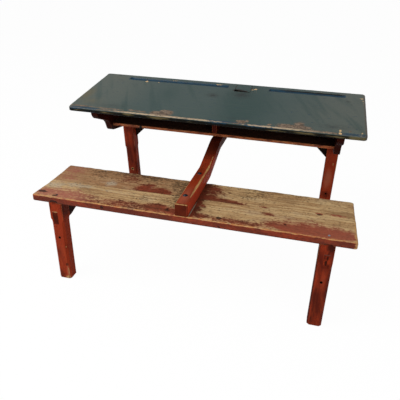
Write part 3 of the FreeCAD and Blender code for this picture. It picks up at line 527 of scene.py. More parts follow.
def oxblood_oil_paint(
    name, centre, turn, tone, wear, dirt=0.6, gloss=0.07,
    bare=(), stains_and_shade=(), faded=(), bright=(), kept=(), holes=(),
):
    """Brushed oil paint on planed softwood: low sheen, streaks along the grain, arrises rubbed bare.

    The grain runs along the turned x axis. Marks tell where the paint has gone to bare wood, where dirt
    darkens it, where painted shade darkens it (dirt sets how dark both are), where the sun has faded it,
    where painted light lightens it (bright), and where it is kept from being rubbed; holes get painted
    shade.
    """
    sizes = bpy.context.scene.bench_desk_sizes
    width = sizes.fibre / MM
    paint, material, tree, space = start_finish(name, centre, turn)
    cloud = noise_of(tree, space, (95, 30, 30), 3.0, 0.5, 3.1)
    streak = noise_of(tree, space, (120, 3 * width, 3 * width), 4.0, 0.6, 7.7)
    speck = noise_of(tree, space, (7, 4, 4), 4.0, 0.65, 1.9)
    fibre = noise_of(tree, space, (45, width, width), 3.0, 0.6, 5.3)
    body = coats(tree, paint.oxblood_dark, [
        (paint.oxblood, cloud, 1.0, 0.55 - 0.5 * tone, 0.9 - 0.5 * tone),
        (paint.oxblood_light, streak, 0.3 * tone + 0.05, 0.5, 0.75),
        (paint.oxblood_dark, streak, 0.25, 0.44, 0.3),
        (paint.oxblood_dark, speck, 0.6, 0.53, 0.68),
    ])
    if faded:
        pale = worn_mask(tree, space, faded, blend_of(tree, streak, speck), 0.9, 0.0, 1.1)
        body = cover(tree, body, paint.oxblood_faded, pale, 0.6)
    # Painted light: bright marks lighten faces that the lamps leave dark.
    if bright:
        lit_patches = worn_mask(tree, space, bright, cloud, 0.5, 0.0, 1.0)
        body = cover(tree, body, paint.oxblood_painted_light, lit_patches, 0.75)
    # Dirt and painted shade darken the paint; dirt sets how dark both are.
    if stains_and_shade:
        stain = worn_mask(tree, space, stains_and_shade, blend_of(tree, cloud, speck), 1.2, 0.1, 1.1)
        body = cover(tree, body, paint.shade, stain, dirt)
    whole = patches(tree, space, kept, speck, 0.0, 0.1) if kept else 0.0
    spared = add(tree, "Math", "MULTIPLY_ADD", (whole, -9.0, wear - 0.45))
    uneven = blend_of(tree, cloud, speck, 0.6)
    ragged = add(tree, "Math", "MULTIPLY_ADD", (uneven, 1.3, spared))
    thin = arris_mask(tree, 1.8 * sizes.arris_wear, ragged, 0.5, 1.2)
    gone = arris_mask(tree, sizes.arris_wear, ragged, 1.3, 1.9)
    if bare:
        spots = patches(tree, space, bare, blend_of(tree, streak, speck), 0.9)
        gone = add(tree, "Math", "MAXIMUM", (gone, spots))
    wood = cover(tree, paint.bare_dark, paint.bare, fibre, 1.0, 0.35, 0.6)
    body = coats(tree, body, [(paint.oxblood_light, thin, 0.75), (wood, gone, 0.9)])
    # Painted shade inside the holes.
    if holes:
        body = cover(tree, body, paint.shade, patches(tree, space, holes, speck, 0.1, 0.15))
    height = add(tree, "Math", "MULTIPLY_ADD", (gone, -0.7, blend_of(tree, fibre, speck, 0.35)))
    painted_surface(tree, body, (streak, 0.36, 0.58), height, 0.25, gloss)
    return material


def slate_oil_paint(name, edge_place, edge_wear=0.0, body_grey=0.0):
    """Thick grey-green oil paint on the writing board: satin, worn through along its front arris.

    edge_place is on the front edge of the writing surface: y counts from that edge, z from the surface.
    """
    width = bpy.context.scene.bench_desk_sizes.fibre / MM
    paint, material, tree, space = start_finish(name, edge_place, (SLOPE, 0.0, 0.0))
    x, y, z = add(tree, "SeparateXYZ", None, {"Vector": space}).node.outputs
    cloud = noise_of(tree, space, (170, 190, 190), 3.0, 0.5, 4.4)
    slanted = add(tree, "Mapping", None, {"Vector": space, "Rotation": (0.0, 0.0, BRUSH_SLANT)})
    sweep = noise_of(tree, slanted, (46, 420, 420), 3.0, 0.55, 9.1)
    grain = noise_of(tree, space, (110, 4 * width, 4 * width), 4.0, 0.6, 5.3)
    speck = noise_of(tree, space, (5, 5, 5), 4.0, 0.7, 2.3)
    blotch = noise_of(tree, space, (26, 12, 12), 5.0, 0.68, 6.2)
    fine = add(tree, "MapRange", None, (blend_of(tree, blotch, speck, 0.45), 0.36, 0.64))

    # The board: greyer towards its ends, part chalk in the paint and part painted reflection of its sheen,
    # deeper in the middle, with stains.
    ends = add(tree, "Math", "ABSOLUTE", (x,))
    sheen_and_chalk = blend_of(tree, within(tree, (ends, 150, 570)), cloud, 0.4)
    teal = worn_mask(tree, space, TEAL_DEPTHS, sweep, 1.0, 0.0, 1.2)
    olive = worn_mask(tree, space, OLIVE_STAINS, sweep, 0.6, 0.0, 1.0)
    spots = worn_mask(tree, space, DARK_SPOTS, fine, 0.35, 0.0, 1.0)
    body = coats(tree, paint.slate, [
        (paint.slate_grey, sheen_and_chalk, 1.0, 0.3 - body_grey, 0.95 - body_grey),
        (paint.slate_dark, teal, 0.9),
        (paint.slate_dark, sweep, 0.5, 0.52, 0.34),
        (paint.slate_grey, grain, 0.25, 0.55, 0.75),
        (paint.slate_edge, speck, 0.3, 0.58, 0.72),
        (paint.rubbed, speck, 0.3, 0.32, 0.24),
        (paint.olive, olive, 0.6),
        (paint.slate_edge, spots, 0.93),
    ])

    # Grooves are blue, with painted shadow along the far side of the right one; the inkwell's recess is
    # painted black as shade, with some dirt, and so is the gap round the flap.
    run_x = add(tree, "Math", "MULTIPLY_ADD", (fine, 6 * MM, x))
    run_y = add(tree, "Math", "MULTIPLY_ADD", (fine, 6 * MM, y))
    in_rows = add(tree, "Math", "COMPARE", (run_y, GROOVE_ROWS[0], GROOVE_ROWS[1]))
    in_left = add(tree, "Math", "COMPARE", (run_x, GROOVE_LEFT[0], GROOVE_LEFT[1]))
    in_right = add(tree, "Math", "COMPARE", (run_x, GROOVE_RIGHT[0], GROOVE_RIGHT[1]))
    in_either = add(tree, "Math", "ADD", (in_left, in_right))
    groove = within(tree, in_rows, in_either, (z, -12, -10))
    far_side_shadow = within(tree, (y, 380, 385), (x, 190, 300), most=0.85)
    blue = coats(tree, paint.groove_blue, [
        (paint.slate_edge, fine, 0.6, 0.4, 0.9),
        (paint.slate_edge, far_side_shadow),
    ])
    across = add(tree, "Math", "COMPARE", (x, RECESS_ACROSS[0], RECESS_ACROSS[1]))
    along = add(tree, "Math", "COMPARE", (y, RECESS_ROWS[0], RECESS_ROWS[1]))
    recess = within(tree, (z, -1.5, -3.0), across, along)
    black = cover(tree, paint.shade, paint.inside, fine, 1.0, 0.7, 1.3)
    off_middle = add(tree, "Math", "SUBTRACT", (x, FLAP_ACROSS[0]))
    off_middle = add(tree, "Math", "ABSOLUTE", (off_middle,))
    off_side = add(tree, "Math", "SUBTRACT", (off_middle, FLAP_ACROSS[1]))
    off_side = add(tree, "Math", "ABSOLUTE", (off_side,))
    gap = within(tree, (off_side, 2.4, 1.0), (y, 338, 350), (y, 398, 394))
    body = coats(tree, body, [(blue, groove), (black, recess), (paint.shade, gap, 0.8)])

    # The front edge: nearly black below, part dirt and part painted shade, worn wood on the arris, blue
    # left in places.
    on_edge = add(tree, "Math", "LESS_THAN", (y, 3.0 * MM))
    edge = within(tree, (z, -4.0, -8.0), on_edge)
    streaks = noise_of(tree, space, (40, 3.5, 3.5), 4.0, 0.65, 3.3)
    brown = worn_mask(tree, space, EDGE_BROWN, streaks, 1.6, 0.25, 0.8)
    # Nearly black front face: dirt and painted shade.
    dirty = coats(tree, paint.slate_edge, [
        (paint.groove_blue, streaks, 0.35, 0.5, 0.8),
        (paint.olive, brown, 0.8),
    ])
    at_end = add(tree, "Math", "MULTIPLY_ADD", (fine, -8 * MM, x))
    rubs = worn_field(tree, space, FRONT_RUBS)
    from_front = add(tree, "MapRange", None, (y, 12 * MM, 0.0))
    strip = within(tree, from_front, (z, -5.0, -2.0))
    strip = add(tree, "Math", "MAXIMUM", (strip, rubs))
    rubbed = broken(tree, strip, fine, 0.75, 0.36, 0.6)
    wood = coats(tree, paint.rub_dark, [
        (paint.rubbed, fine, 1.0, 0.25, 0.95),
        (paint.bare, speck, 0.5, 0.56, 0.68),
    ])
    ragged = add(tree, "Math", "MULTIPLY_ADD", (blotch, 1.6, edge_wear - 0.75))
    arris = arris_mask(tree, 2.2 * MM, ragged, 1.0, 1.6)
    blues = worn_mask(tree, space, BLUE_ON_EDGE, fine, 1.1, 0.3, 0.5)
    chips = worn_mask(tree, space, PALE_CHIPS, fine, 1.0, 0.5, 0.65)
    body = coats(tree, body, [
        (dirty, edge, 0.97),
        (paint.rub_dark, within(tree, (at_end, 586, 594)), 0.7),
        (paint.rub_dark, broken(tree, rubs, blotch, 1.2, -0.1, 0.9), 0.5),
        (wood, rubbed, 0.92),
        (wood, arris, 0.85),
        (paint.groove_blue, blues, 0.85),
        (paint.seat_pale, chips),
    ])

    # Pale wood along the very arris, in a broken line that is fuller to the right.
    off = add(tree, "Math", "MULTIPLY_ADD", (fine, 5 * MM, y))
    flecks = noise_of(tree, space, (16, 5, 5), 3.0, 0.65, 8.8)
    flecks = add(tree, "Math", "MULTIPLY_ADD", (flecks, 3.0, -0.95))
    fuller = worn_field(tree, space, ARRIS_LINE)
    line = within(tree, (off, 9.5, 6.5), (off, -1.5, 1.0), (z, -5.5, -3.5), fuller, flecks)
    body = cover(tree, body, paint.arris_pale, line, 0.85, 0.1, 0.5)

    gone = add(tree, "Math", "MAXIMUM", (rubbed, arris))
    height = add(tree, "Math", "MULTIPLY_ADD", (gone, -1.0, blend_of(tree, grain, speck, 0.3)))
    satin = add(tree, "MapRange", None, {0: cloud, 3: 0.3, 4: 0.42})
    rough = add(tree, "Math", "MULTIPLY_ADD", (gone, 0.3, satin))
    gloss = add(tree, "MapRange", None, {0: edge, 3: 0.24, 4: 0.03})
    painted_surface(tree, body, rough, height, 0.25, gloss)
    return material


def weathered_seat(name, edge_place):
    """Scrubbed softwood plank: open grain, dark knots, and red paint left along its front and by the arm.

    edge_place is on the front edge of the seat's surface: y counts from that edge, z from the surface.
    """
    sizes = bpy.context.scene.bench_desk_sizes
    width, pitch = sizes.fibre / MM, sizes.ring_pitch / MM
    paint, material, tree, space = start_finish(name, edge_place)
    x, y, z = add(tree, "SeparateXYZ", None, {"Vector": space}).node.outputs
    wave = noise_of(tree, space, (260, 70, 70), 2.0, 0.5, 2.2)
    bent = add(tree, "VectorMath", "MULTIPLY_ADD", (wave, (0, 0.05, 0.05), space))
    ring = noise_of(tree, bent, (420, pitch, pitch), 3.0, 0.55, 3.3)
    fibre = noise_of(tree, bent, (60, 2 * width, 2 * width), 5.0, 0.7, 6.1)
    crack = noise_of(tree, bent, (120, 4, 4), 3.0, 0.6, 12.4)
    cloud = noise_of(tree, space, (120, 45, 45), 4.0, 0.6, 1.4)
    # Real flakes are 1 to 3 mm; drawn about three times as coarse, so that they show.
    speck = noise_of(tree, space, (10, 7, 7), 3.0, 0.65, 8.3)
    flake = noise_of(tree, space, (26, 11, 11), 4.0, 0.7, 15.7)
    fine = add(tree, "MapRange", None, (blend_of(tree, flake, speck, 0.5), 0.36, 0.64))

    # Bare wood: rings, fibres, greyed and pale places, dirt, short cracks.
    behind = add(tree, "Math", "MULTIPLY_ADD", (wave, 0.02, y))
    behind = within(tree, (behind, CRACK_LINE + 9, CRACK_LINE + 12))
    pale = worn_mask(tree, space, SEAT_PALE, fine, 0.9, 0.2, 0.9)
    dirt = worn_mask(tree, space, SEAT_DIRT, fine, 1.4, 0.1, 1.3)
    wood = coats(tree, paint.seat, [
        (paint.seat_pale, ring, 1.0, 0.38, 0.64),
        (paint.seat_brown, within(tree, behind, (x, 100, -200)), 0.5),
        (paint.seat_grey, pale, 0.6),
        (paint.seat_grey, cloud, 0.2, 0.52, 0.7),
        (paint.seat_dark, fibre, 0.5, 0.5, 0.68),
        (paint.seat_dark, speck, 0.55, 0.52, 0.68),
        (paint.bare_dark, cloud, 0.45, 0.48, 0.3),
        (paint.seat_dark, dirt, 0.8),
        (paint.shade, crack, 0.22, 0.65, 0.74),
    ])

    # Red paint: solid where it was sheltered, broken flakes elsewhere, whole on the front edge.
    kept_behind = within(tree, worn_field(tree, space, SEAT_RED_BEHIND), behind)
    kept = add(tree, "Math", "MAXIMUM", (worn_field(tree, space, SEAT_RED), kept_behind))
    red = broken(tree, kept, fine, 1.0, 0.42, 0.62)
    haze = broken(tree, kept, blend_of(tree, cloud, fine, 0.4), 0.9, 0.0, 0.7)
    front = broken(tree, within(tree, (z, -0.8, -2.8)), fine, 0.5, 0.4, 0.6)
    ends = add(tree, "Math", "ABSOLUTE", (x,))
    tint = coats(tree, paint.seat_red, [
        (paint.seat_red_dark, blend_of(tree, cloud, fine, 0.35), 1.0, 0.35, 0.65),
        # Painted reflection: lighter, pinker red towards the right.
        (paint.seat_red_sheen, within(tree, (x, 150, 500)), 0.6),
        (paint.seat_red_faded, within(tree, (x, -300, -480)), 0.65),
        (paint.seat_red_dark, within(tree, (ends, 330, 60), (y, 90, 150)), 0.4),
    ])
    edge_paint = coats(tree, paint.oxblood, [
        (paint.oxblood_dark, blend_of(tree, cloud, speck, 0.35), 0.9, 0.3, 0.58),
        (paint.oxblood_dark, within(tree, (z, -17, -24)), 0.7),
    ])
    before = add(tree, "Math", "SUBTRACT", (1.0, behind))
    body = coats(tree, wood, [
        (tint, haze, 0.6),
        (tint, red, 0.82),
        (edge_paint, front, 0.97),
        (paint.shade, dirt, 0.15, 0.3, 1.0),
        (paint.shade, within(tree, behind, before, fibre), 0.7, 0.05, 0.12),
    ])

    # A thin bare line along the front arris, a wider one at the right end, and dark knots.
    foot = worn_mask(tree, space, ARM_FOOT_LINE, fine, 0.8, 0.3, 0.9)
    off = add(tree, "Math", "MULTIPLY_ADD", (fine, 5 * MM, y))
    chip = add(tree, "Math", "MULTIPLY_ADD", (flake, 2.6, -0.95))
    line = within(tree, (off, 12.5, 9.5), (z, -4.0, -2.0), chip)
    bare = cover(tree, paint.oxblood_light, paint.bare, fibre, 1.0, 0.36, 0.56)
    right_end = add(tree, "Math", "MULTIPLY_ADD", (fine, -9 * MM, x))
    knots = worn_mask(tree, space, SEAT_KNOTS, speck, 0.6, 0.4, 0.8)
    body = coats(tree, body, [
        (paint.seat_grey, foot, 0.75),
        (bare, line, 0.85, 0.1, 0.5),
        (paint.bare, within(tree, (right_end, 582, 592)), 0.7),
        (paint.shade, knots, 0.8),
    ])
    solid = add(tree, "Math", "MAXIMUM", (red, front))
    hollow = add(tree, "Math", "SUBTRACT", (1.0, fibre))
    height = add(tree, "Math", "MULTIPLY_ADD", (solid, 0.5, hollow))
    painted_surface(tree, body, (solid, 0.74, 0.5), height, 0.4, 0.12)
    return material


def rubbed_shelf(name, edge_place):
    """Shelf board: dark inside with stain and painted shade, its front edge rubbed to orange wood."""
    width = bpy.context.scene.bench_desk_sizes.fibre / MM
    paint, material, tree, space = start_finish(name, edge_place, (SLOPE, 0.0, 0.0))
    y = add(tree, "SeparateXYZ", None, {"Vector": space}).node.outputs[1]
    blotch = noise_of(tree, space, (40, 6, 6), 5.0, 0.65, 4.9)
    fibre = noise_of(tree, space, (80, width, width), 4.0, 0.6, 1.3)
    edge = coats(tree, paint.oxblood_light, [
        (paint.bare, fibre, 0.7, 0.4, 0.7),
        (paint.oxblood_dark, blotch, 0.9, 0.44, 0.62),
    ])
    body = coats(tree, paint.inside, [
        (paint.oxblood_dark, fibre, 0.4, 0.4, 0.8),
        (edge, y, 1.0, 6 * MM, 2 * MM),
        (paint.shade, patches(tree, space, SHELF_NOTCH_SHADE, fibre, 0.4)),
    ])
    painted_surface(tree, body, (fibre, 0.5, 0.7), fibre, 0.2)
    return material


def stained_and_shaded_softwood(name, painted_shade=0.0):
    """Unpainted inside boards, black-brown, part with age and part as painted shade: rough-sawn, dull."""
    paint, material, tree, space = start_finish(name)
    saw = noise_of(tree, space, (180, 5, 5), 4.0, 0.65, 2.7)
    cloud = noise_of(tree, space, (200, 60, 60), 4.0, 0.6, 8.1)
    body = coats(tree, paint.inside, [
        (paint.oxblood_dark, saw, 0.5, 0.42, 0.7),
        (paint.shade, saw, 0.55, 0.46, 0.3),
        (paint.bare_dark, cloud, 0.3, 0.52, 0.72),
        # More painted shade where asked, as on the gussets.
        (paint.shade, saw, painted_shade, 0.9, 0.5),
    ])
    painted_surface(tree, body, (saw, 0.6, 0.85), saw, 0.3, 0.05)
    return material


def end_grain_wood(name):
    """Hand-cut softwood wedges: split faces, pale and dirty on the left, painted over on the right."""
    paint, material, tree, space = start_finish(name)
    x = add(tree, "SeparateXYZ", None, {"Vector": space}).node.outputs[0]
    fibre = noise_of(tree, space, (2, 25, 2), 4.0, 0.6, 1.3)
    dirt = noise_of(tree, space, (9, 9, 5), 3.0, 0.6, 4.3)
    body = coats(tree, paint.bare_dark, [
        (paint.bare, fibre, 1.0, 0.35, 0.65),
        (paint.oxblood, dirt, 0.85, 0.45, 0.62),
        (paint.oxblood_dark, within(tree, (x, 0, 1)), 0.9),
    ])
    painted_surface(tree, body, (fibre, 0.6, 0.8), fibre, 0.15)
    return material


def oxidised_steel(name):
    """Forged steel with a blue-black oxide skin, a painted highlight on the right seat nails, and rust in
    the pits.
    """
    paint, material, tree, space = start_finish(name)
    places = add(tree, "SeparateXYZ", None, {"Vector": space}).node.outputs
    cloud = noise_of(tree, space, (6, 6, 6), 4.0, 0.6, 1.3)
    pits = noise_of(tree, space, (1.6, 1.6, 1.6), 3.0, 0.6, 5.3)
    # Painted highlight: the nail heads near the right end of the seat are drawn light.
    nail_highlight = within(tree, (places[0], 400, 420), (places[2], 377, 380.2))
    body = coats(tree, paint.steel_dark, [
        (paint.steel, cloud, 1.0, 0.35, 0.65),
        (paint.steel_highlight, nail_highlight, 0.9),
        (paint.rust, pits, 0.6, 0.6, 0.75),
    ])
    bump = add(tree, "Bump", None, {"Strength": 0.7, "Distance": 0.2 * MM, "Height": pits})
    rough = add(tree, "MapRange", None, {0: cloud, 3: 0.35, 4: 0.6})
    links = {"Base Color": body, "Metallic": 0.8, "Roughness": rough, "Normal": bump}
    add(tree, "OutputMaterial", None, {"Surface": add(tree, "BsdfPrincipled", None, links)})
    return material


def glazed_stoneware(name):
    """Salt-glazed stoneware: glossy brown-black with a fine orange-peel surface."""
    paint, material, tree, space = start_finish(name)
    peel = noise_of(tree, space, (1.8, 1.8, 1.8), 2.0, 0.5, 1.3)
    cloud = noise_of(tree, space, (12, 12, 12), 3.0, 0.5, 2.3)
    body = cover(tree, paint.stoneware, paint.stoneware_pale, cloud, 1.0, 0.35, 0.7)
    bump = add(tree, "Bump", None, {"Strength": 0.4, "Distance": 0.1 * MM, "Height": peel})
    rough = add(tree, "MapRange", None, {0: cloud, 3: 0.12, 4: 0.3})
    links = {"Base Color": body, "Roughness": rough, "Normal": bump, "IOR": 1.52}
    add(tree, "OutputMaterial", None, {"Surface": add(tree, "BsdfPrincipled", None, links)})
    return material


# ---------------------------------------------------------------- worn planks


def netted_copy(node_name, turn, across, along, down):
    """Mesh of a plank of the solid model, cut into a net so that it can be worn by moving vertices.

    across, along and down are the places of the cuts in the plank's own axes, from the object's origin.
    """
    shape = bmesh.new()
    shape.from_mesh(frame["nodes"][node_name].data)
    bmesh.ops.remove_doubles(shape, verts=shape.verts, dist=WELD)
    bmesh.ops.dissolve_limit(shape, angle_limit=FLAT, verts=shape.verts, edges=shape.edges)
    bmesh.ops.transform(shape, matrix=turn.inverted(), verts=shape.verts)
    for axis, places in enumerate((across, along, down)):
        normal = Vector([float(axis == i) for i in range(3)])
        for place in places:
            parts = shape.verts[:] + shape.edges[:] + shape.faces[:]
            cut = {"plane_co": normal * place, "plane_no": normal}
            bmesh.ops.bisect_plane(shape, geom=parts, dist=ON_CUT, **cut)
    return shape


def cuts(low, high, pitch, inset=0.0):
    """Places of cuts between two ends: close together near both, a pitch apart between them."""
    start, stop = low + inset, high - inset
    count = max(2, round((stop - start) / pitch))
    evenly = [start + (stop - start) * i / count for i in range(1, count)]
    return [low + c for c in CLOSE_CUTS] + evenly + [high - c for c in CLOSE_CUTS]


def near(distance, reach):
    """1 at no distance, falling smoothly to 0 at reach."""
    share = min(max(1 - distance / reach, 0.0), 1.0)
    return share * share * (3 - 2 * share)


def wear_arrises(place, low, high, depth, pitch):
    """Move of a point for the uneven rounding of a plank's four upper arrises."""
    rough = 0.5 + 0.5 * noise.fractal(place / pitch, 0.8, 2.2, 3)
    below = high.z - place.z
    move = Vector((0.0, 0.0, 0.0))
    for axis in (0, 1):
        for side, distance in ((1, place[axis] - low[axis]), (-1, high[axis] - place[axis])):
            amount = depth * rough * near(distance, ARRIS_REACH) * near(below, ARRIS_REACH)
            move[axis] += side * amount
            move.z -= amount
    return move


def finish_plank(shape, name, turn, material, node_name):
    """Make the worn mesh an object that stands for its node."""
    bmesh.ops.transform(shape, matrix=turn, verts=shape.verts)
    bmesh.ops.recalc_face_normals(shape, faces=shape.faces)
    for face in shape.faces:
        face.smooth = True
    for edge in shape.edges:
        edge.smooth = len(edge.link_faces) == 2 and edge.calc_face_angle(0.0) < CREASE
    mesh = bpy.data.meshes.new(name)
    shape.to_mesh(mesh)
    shape.free()
    mesh.materials.append(material)
    piece = bpy.data.objects.new(name, mesh)
    bpy.context.scene.collection.objects.link(piece)
    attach(piece, "desk")
    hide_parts(node_name)


# ---------------------------------------------------------------- operators


def coat(node_name, material):
    """Give a node of the solid model its finish."""
    slots = frame["nodes"][node_name].material_slots
    if slots:
        for place in slots:
            place.material = material
    else:
        frame["nodes"][node_name].data.materials.append(material)


def middle(node_name):
    """Middle of a node's box."""
    low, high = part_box(node_name)
    return (low + high) / 2


def hole_place(name, centre, axes):
    """Place of a hole of the solid model, in millimetres, in a piece's own axes from its middle."""
    mount = next(m for m in frame["record"]["mounts"] if m["name"] == name)
    return tuple(c / MM for c in axes.transposed() @ (Vector(mount["pos_m"]) - centre))


class PaintLegs(bpy.types.Operator):
    """Paint the four legs in worn oxblood"""

    bl_idname = "bench_desk.paint_legs"
    bl_label = "Paint legs"

    def execute(self, context):
        for name, marks in LEGS.items():
            axes = LEG_AXES if name.startswith("bench") else LEAN @ LEG_AXES
            centre = middle(name)
            hole = hole_place(name.replace("leg", "leg_hole"), centre, axes)
            marks = dict(marks, gloss=0.03, holes=(hole + HOLE_SHADE,))
            if name == PEGGED_LEG:
                marks["bare"] = (hole + PEG_ROUND,)
            coat(name, oxblood_oil_paint(f"oxblood_oil_paint_{name}", centre, axes.to_euler(), **marks))
        return {"FINISHED"}


class PaintBrackets(bpy.types.Operator):
    """Paint the brackets under the seat and the top"""

    bl_idname = "bench_desk.paint_brackets"
    bl_label = "Paint brackets"

    def execute(self, context):
        for side, stains_and_shade in SEAT_BRACKET_SHADE_AND_STAINS.items():
            marks = {"stains_and_shade": stains_and_shade, "kept": SEAT_BRACKET_KEPT}
            self.paint(f"seat_bracket_{side}", tone=0.3, wear=-0.3, dirt=0.8, **marks)
            marks = {"stains_and_shade": DESK_BRACKET_SHADE}
            self.paint(f"desk_bracket_{side}", tone=0.0, wear=-1.6, dirt=0.65, **marks)
        return {"FINISHED"}

    def paint(self, name, **settings):
        """Paint one bracket, its grain running from front to back."""
        turn = BRACKET_AXES.to_euler()
        material = f"oxblood_oil_paint_{name}"
        coat(name, oxblood_oil_paint(material, middle(name), turn, gloss=0.02, **settings))


class PaintArm(bpy.types.Operator):
    """Paint the bent arm, rubbed bare along its right arris"""

    bl_idname = "bench_desk.paint_arm"
    bl_label = "Paint arm"

    def execute(self, context):
        centre = middle("centre_arm")
        foot = (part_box("centre_arm")[0] - centre) / MM
        marks = {}
        for name, places in ARM_MARKS.items():
            marks[name] = [(mark[0] + foot.y, mark[1] + foot.z, *mark[2:]) for mark in places]
        settings = {"tone": 0.75, "wear": -0.5, "dirt": 0.65, "gloss": 0.025}
        turn = BRACKET_AXES.to_euler()
        coat("centre_arm", oxblood_oil_paint("oxblood_oil_paint_arm", centre, turn, **settings, **marks))
        return {"FINISHED"}


class StainAndShadeInside(bpy.types.Operator):
    """Darken the boards of the book space with stain and painted shade"""

    bl_idname = "bench_desk.stain_inside"
    bl_label = "Stain inside"

    def execute(self, context):
        coat("back_board", stained_and_shaded_softwood("stained_and_shaded_softwood_boards"))
        # Painted shade: the corner gussets are darkened nearly black.
        shaded_black = stained_and_shaded_softwood("shaded_black_softwood_gussets", 0.9)
        for name in ("corner_gusset_left", "corner_gusset_right"):
            coat(name, shaded_black)
        place = middle("shelf_divider")
        divider = oxblood_oil_paint("oxblood_oil_paint_divider", place, (0, 0, 0), tone=-0.1, wear=-0.5)
        coat("shelf_divider", divider)
        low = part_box("book_shelf")[0]
        coat("book_shelf", rubbed_shelf("rubbed_softwood_shelf", Vector((0.0, low.y, low.z))))
        return {"FINISHED"}


class PaintTop(bpy.types.Operator):
    """Paint the writing top, the inkwell flap and its filler block"""

    bl_idname = "bench_desk.paint_top"
    bl_label = "Paint top"

    def execute(self, context):
        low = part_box("desk_top")[0]
        edge = Vector((0.0, low.y, low.z + TOP_THICKNESS * math.cos(SLOPE)))
        paint = slate_oil_paint("slate_oil_paint_top", edge)
        self.wear_top(edge, paint, context.scene.bench_desk_sizes)
        coat("inkwell_flap", slate_oil_paint("slate_oil_paint_flap", edge, edge_wear=-0.5))
        block = slate_oil_paint("slate_oil_paint_block", edge, edge_wear=-0.3, body_grey=-0.5)
        coat("inkwell_block", block)
        return {"FINISHED"}

    def wear_top(self, edge, paint, sizes):
        """Top with unevenly rounded arrises and a front edge that is worn back in waves."""
        low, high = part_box("desk_top")
        depth = (high.y - low.y - TOP_THICKNESS * math.sin(SLOPE)) / math.cos(SLOPE)
        turn = Matrix.Translation(edge) @ LEAN.to_4x4()
        lowest = Vector((low.x, 0.0, -TOP_THICKNESS))
        highest = Vector((high.x, depth, 0.0))
        across = cuts(low.x, high.x, sizes.net_pitch)
        along = cuts(0.0, depth, 24 * MM, 12 * MM)
        down = [-c for c in (*CLOSE_CUTS, 14 * MM)]
        shape = netted_copy("desk_top", turn, across, along, down)
        for vert in shape.verts:
            place = vert.co.copy()
            loss = sizes.arris_loss * (0.5 + 0.5 * near(place.y, 60 * MM))
            vert.co += wear_arrises(place, lowest, highest, loss, 26 * MM)
            if place.z < -SKIN or place.y < SKIN:
                swell = noise.noise(Vector((place.x * 9, 3.7, 0.0)))
                vert.co.y += TOP_FRONT_LOSS * (0.6 + swell) * near(place.y, 20 * MM)
        finish_plank(shape, "worn_desk_top", turn, paint, "desk_top")


class FinishSeat(bpy.types.Operator):
    """Give the seat plank its scrubbed wood and remains of paint"""

    bl_idname = "bench_desk.finish_seat"
    bl_label = "Finish seat"

    def execute(self, context):
        low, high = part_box("bench_seat")
        wood = weathered_seat("weathered_softwood_seat", Vector((0.0, low.y, high.z)))
        self.wear_seat(low, high, wood, context.scene.bench_desk_sizes)
        return {"FINISHED"}

    def wear_seat(self, low, high, wood, sizes):
        """Seat with uneven arrises, two shallow sitting hollows, a crooked right end and dents."""
        across = cuts(low.x, high.x, sizes.net_pitch)
        along = cuts(low.y, high.y, 14 * MM, 12 * MM)
        down = [high.z - c for c in (*CLOSE_CUTS, 16 * MM)]
        shape = netted_copy("bench_seat", Matrix.Identity(4), across, along, down)
        depth = high.y - low.y
        for vert in shape.verts:
            place = vert.co.copy()
            vert.co += wear_arrises(place, low, high, sizes.arris_loss, 30 * MM)
            back = (place.y - low.y) / depth
            right, left = near(high.x - place.x, 60 * MM), near(place.x - low.x, 60 * MM)
            vert.co.x += (SEAT_END_FLARE * (1 - 2 * back) - SEAT_END_SKEW * back) * right
            bow = SEAT_END_HOLLOW * math.sin(math.pi * back)
            vert.co.x += (bow - SEAT_END_FLARE * (1 - back) ** 3) * left
            swell = 0.5 + 0.5 * noise.noise(Vector((place.x * 6, 1.3, 0.0)))
            vert.co.y += SEAT_FRONT_LOSS * swell * near(place.y - low.y, 16 * MM)
            if place.z > high.z - SKIN:
                sideways = (abs(place.x) - SITTING_ACROSS[0]) / SITTING_ACROSS[1]
                reach = Vector((sideways, (back - SITTING_ALONG[0]) / SITTING_ALONG[1]))
                vert.co.z -= SEAT_HOLLOW * near(reach.length, 1.0)
                dent = noise.noise(Vector((place.x * 30, place.y * 60, 5.0)))
                vert.co.z -= SEAT_DENT * max(0.0, dent - 0.2)
        finish_plank(shape, "worn_bench_seat", Matrix.Identity(4), wood, "bench_seat")


class FinishHardware(bpy.types.Operator):
    """Give wedges, bolts, nails, pin and inkwell their finishes"""

    bl_idname = "bench_desk.finish_hardware"
    bl_label = "Finish hardware"

    def execute(self, context):
        wood = end_grain_wood("hand_cut_softwood_wedge")
        for name in ("seat_tenon_wedges", "desk_tenon_wedges"):
            coat(name, wood)
        steel = oxidised_steel("oxidised_forged_steel")
        for name in STEEL_NODES:
            coat(name, steel)
        coat("inkwell_cup", glazed_stoneware("salt_glazed_stoneware"))
        return {"FINISHED"}


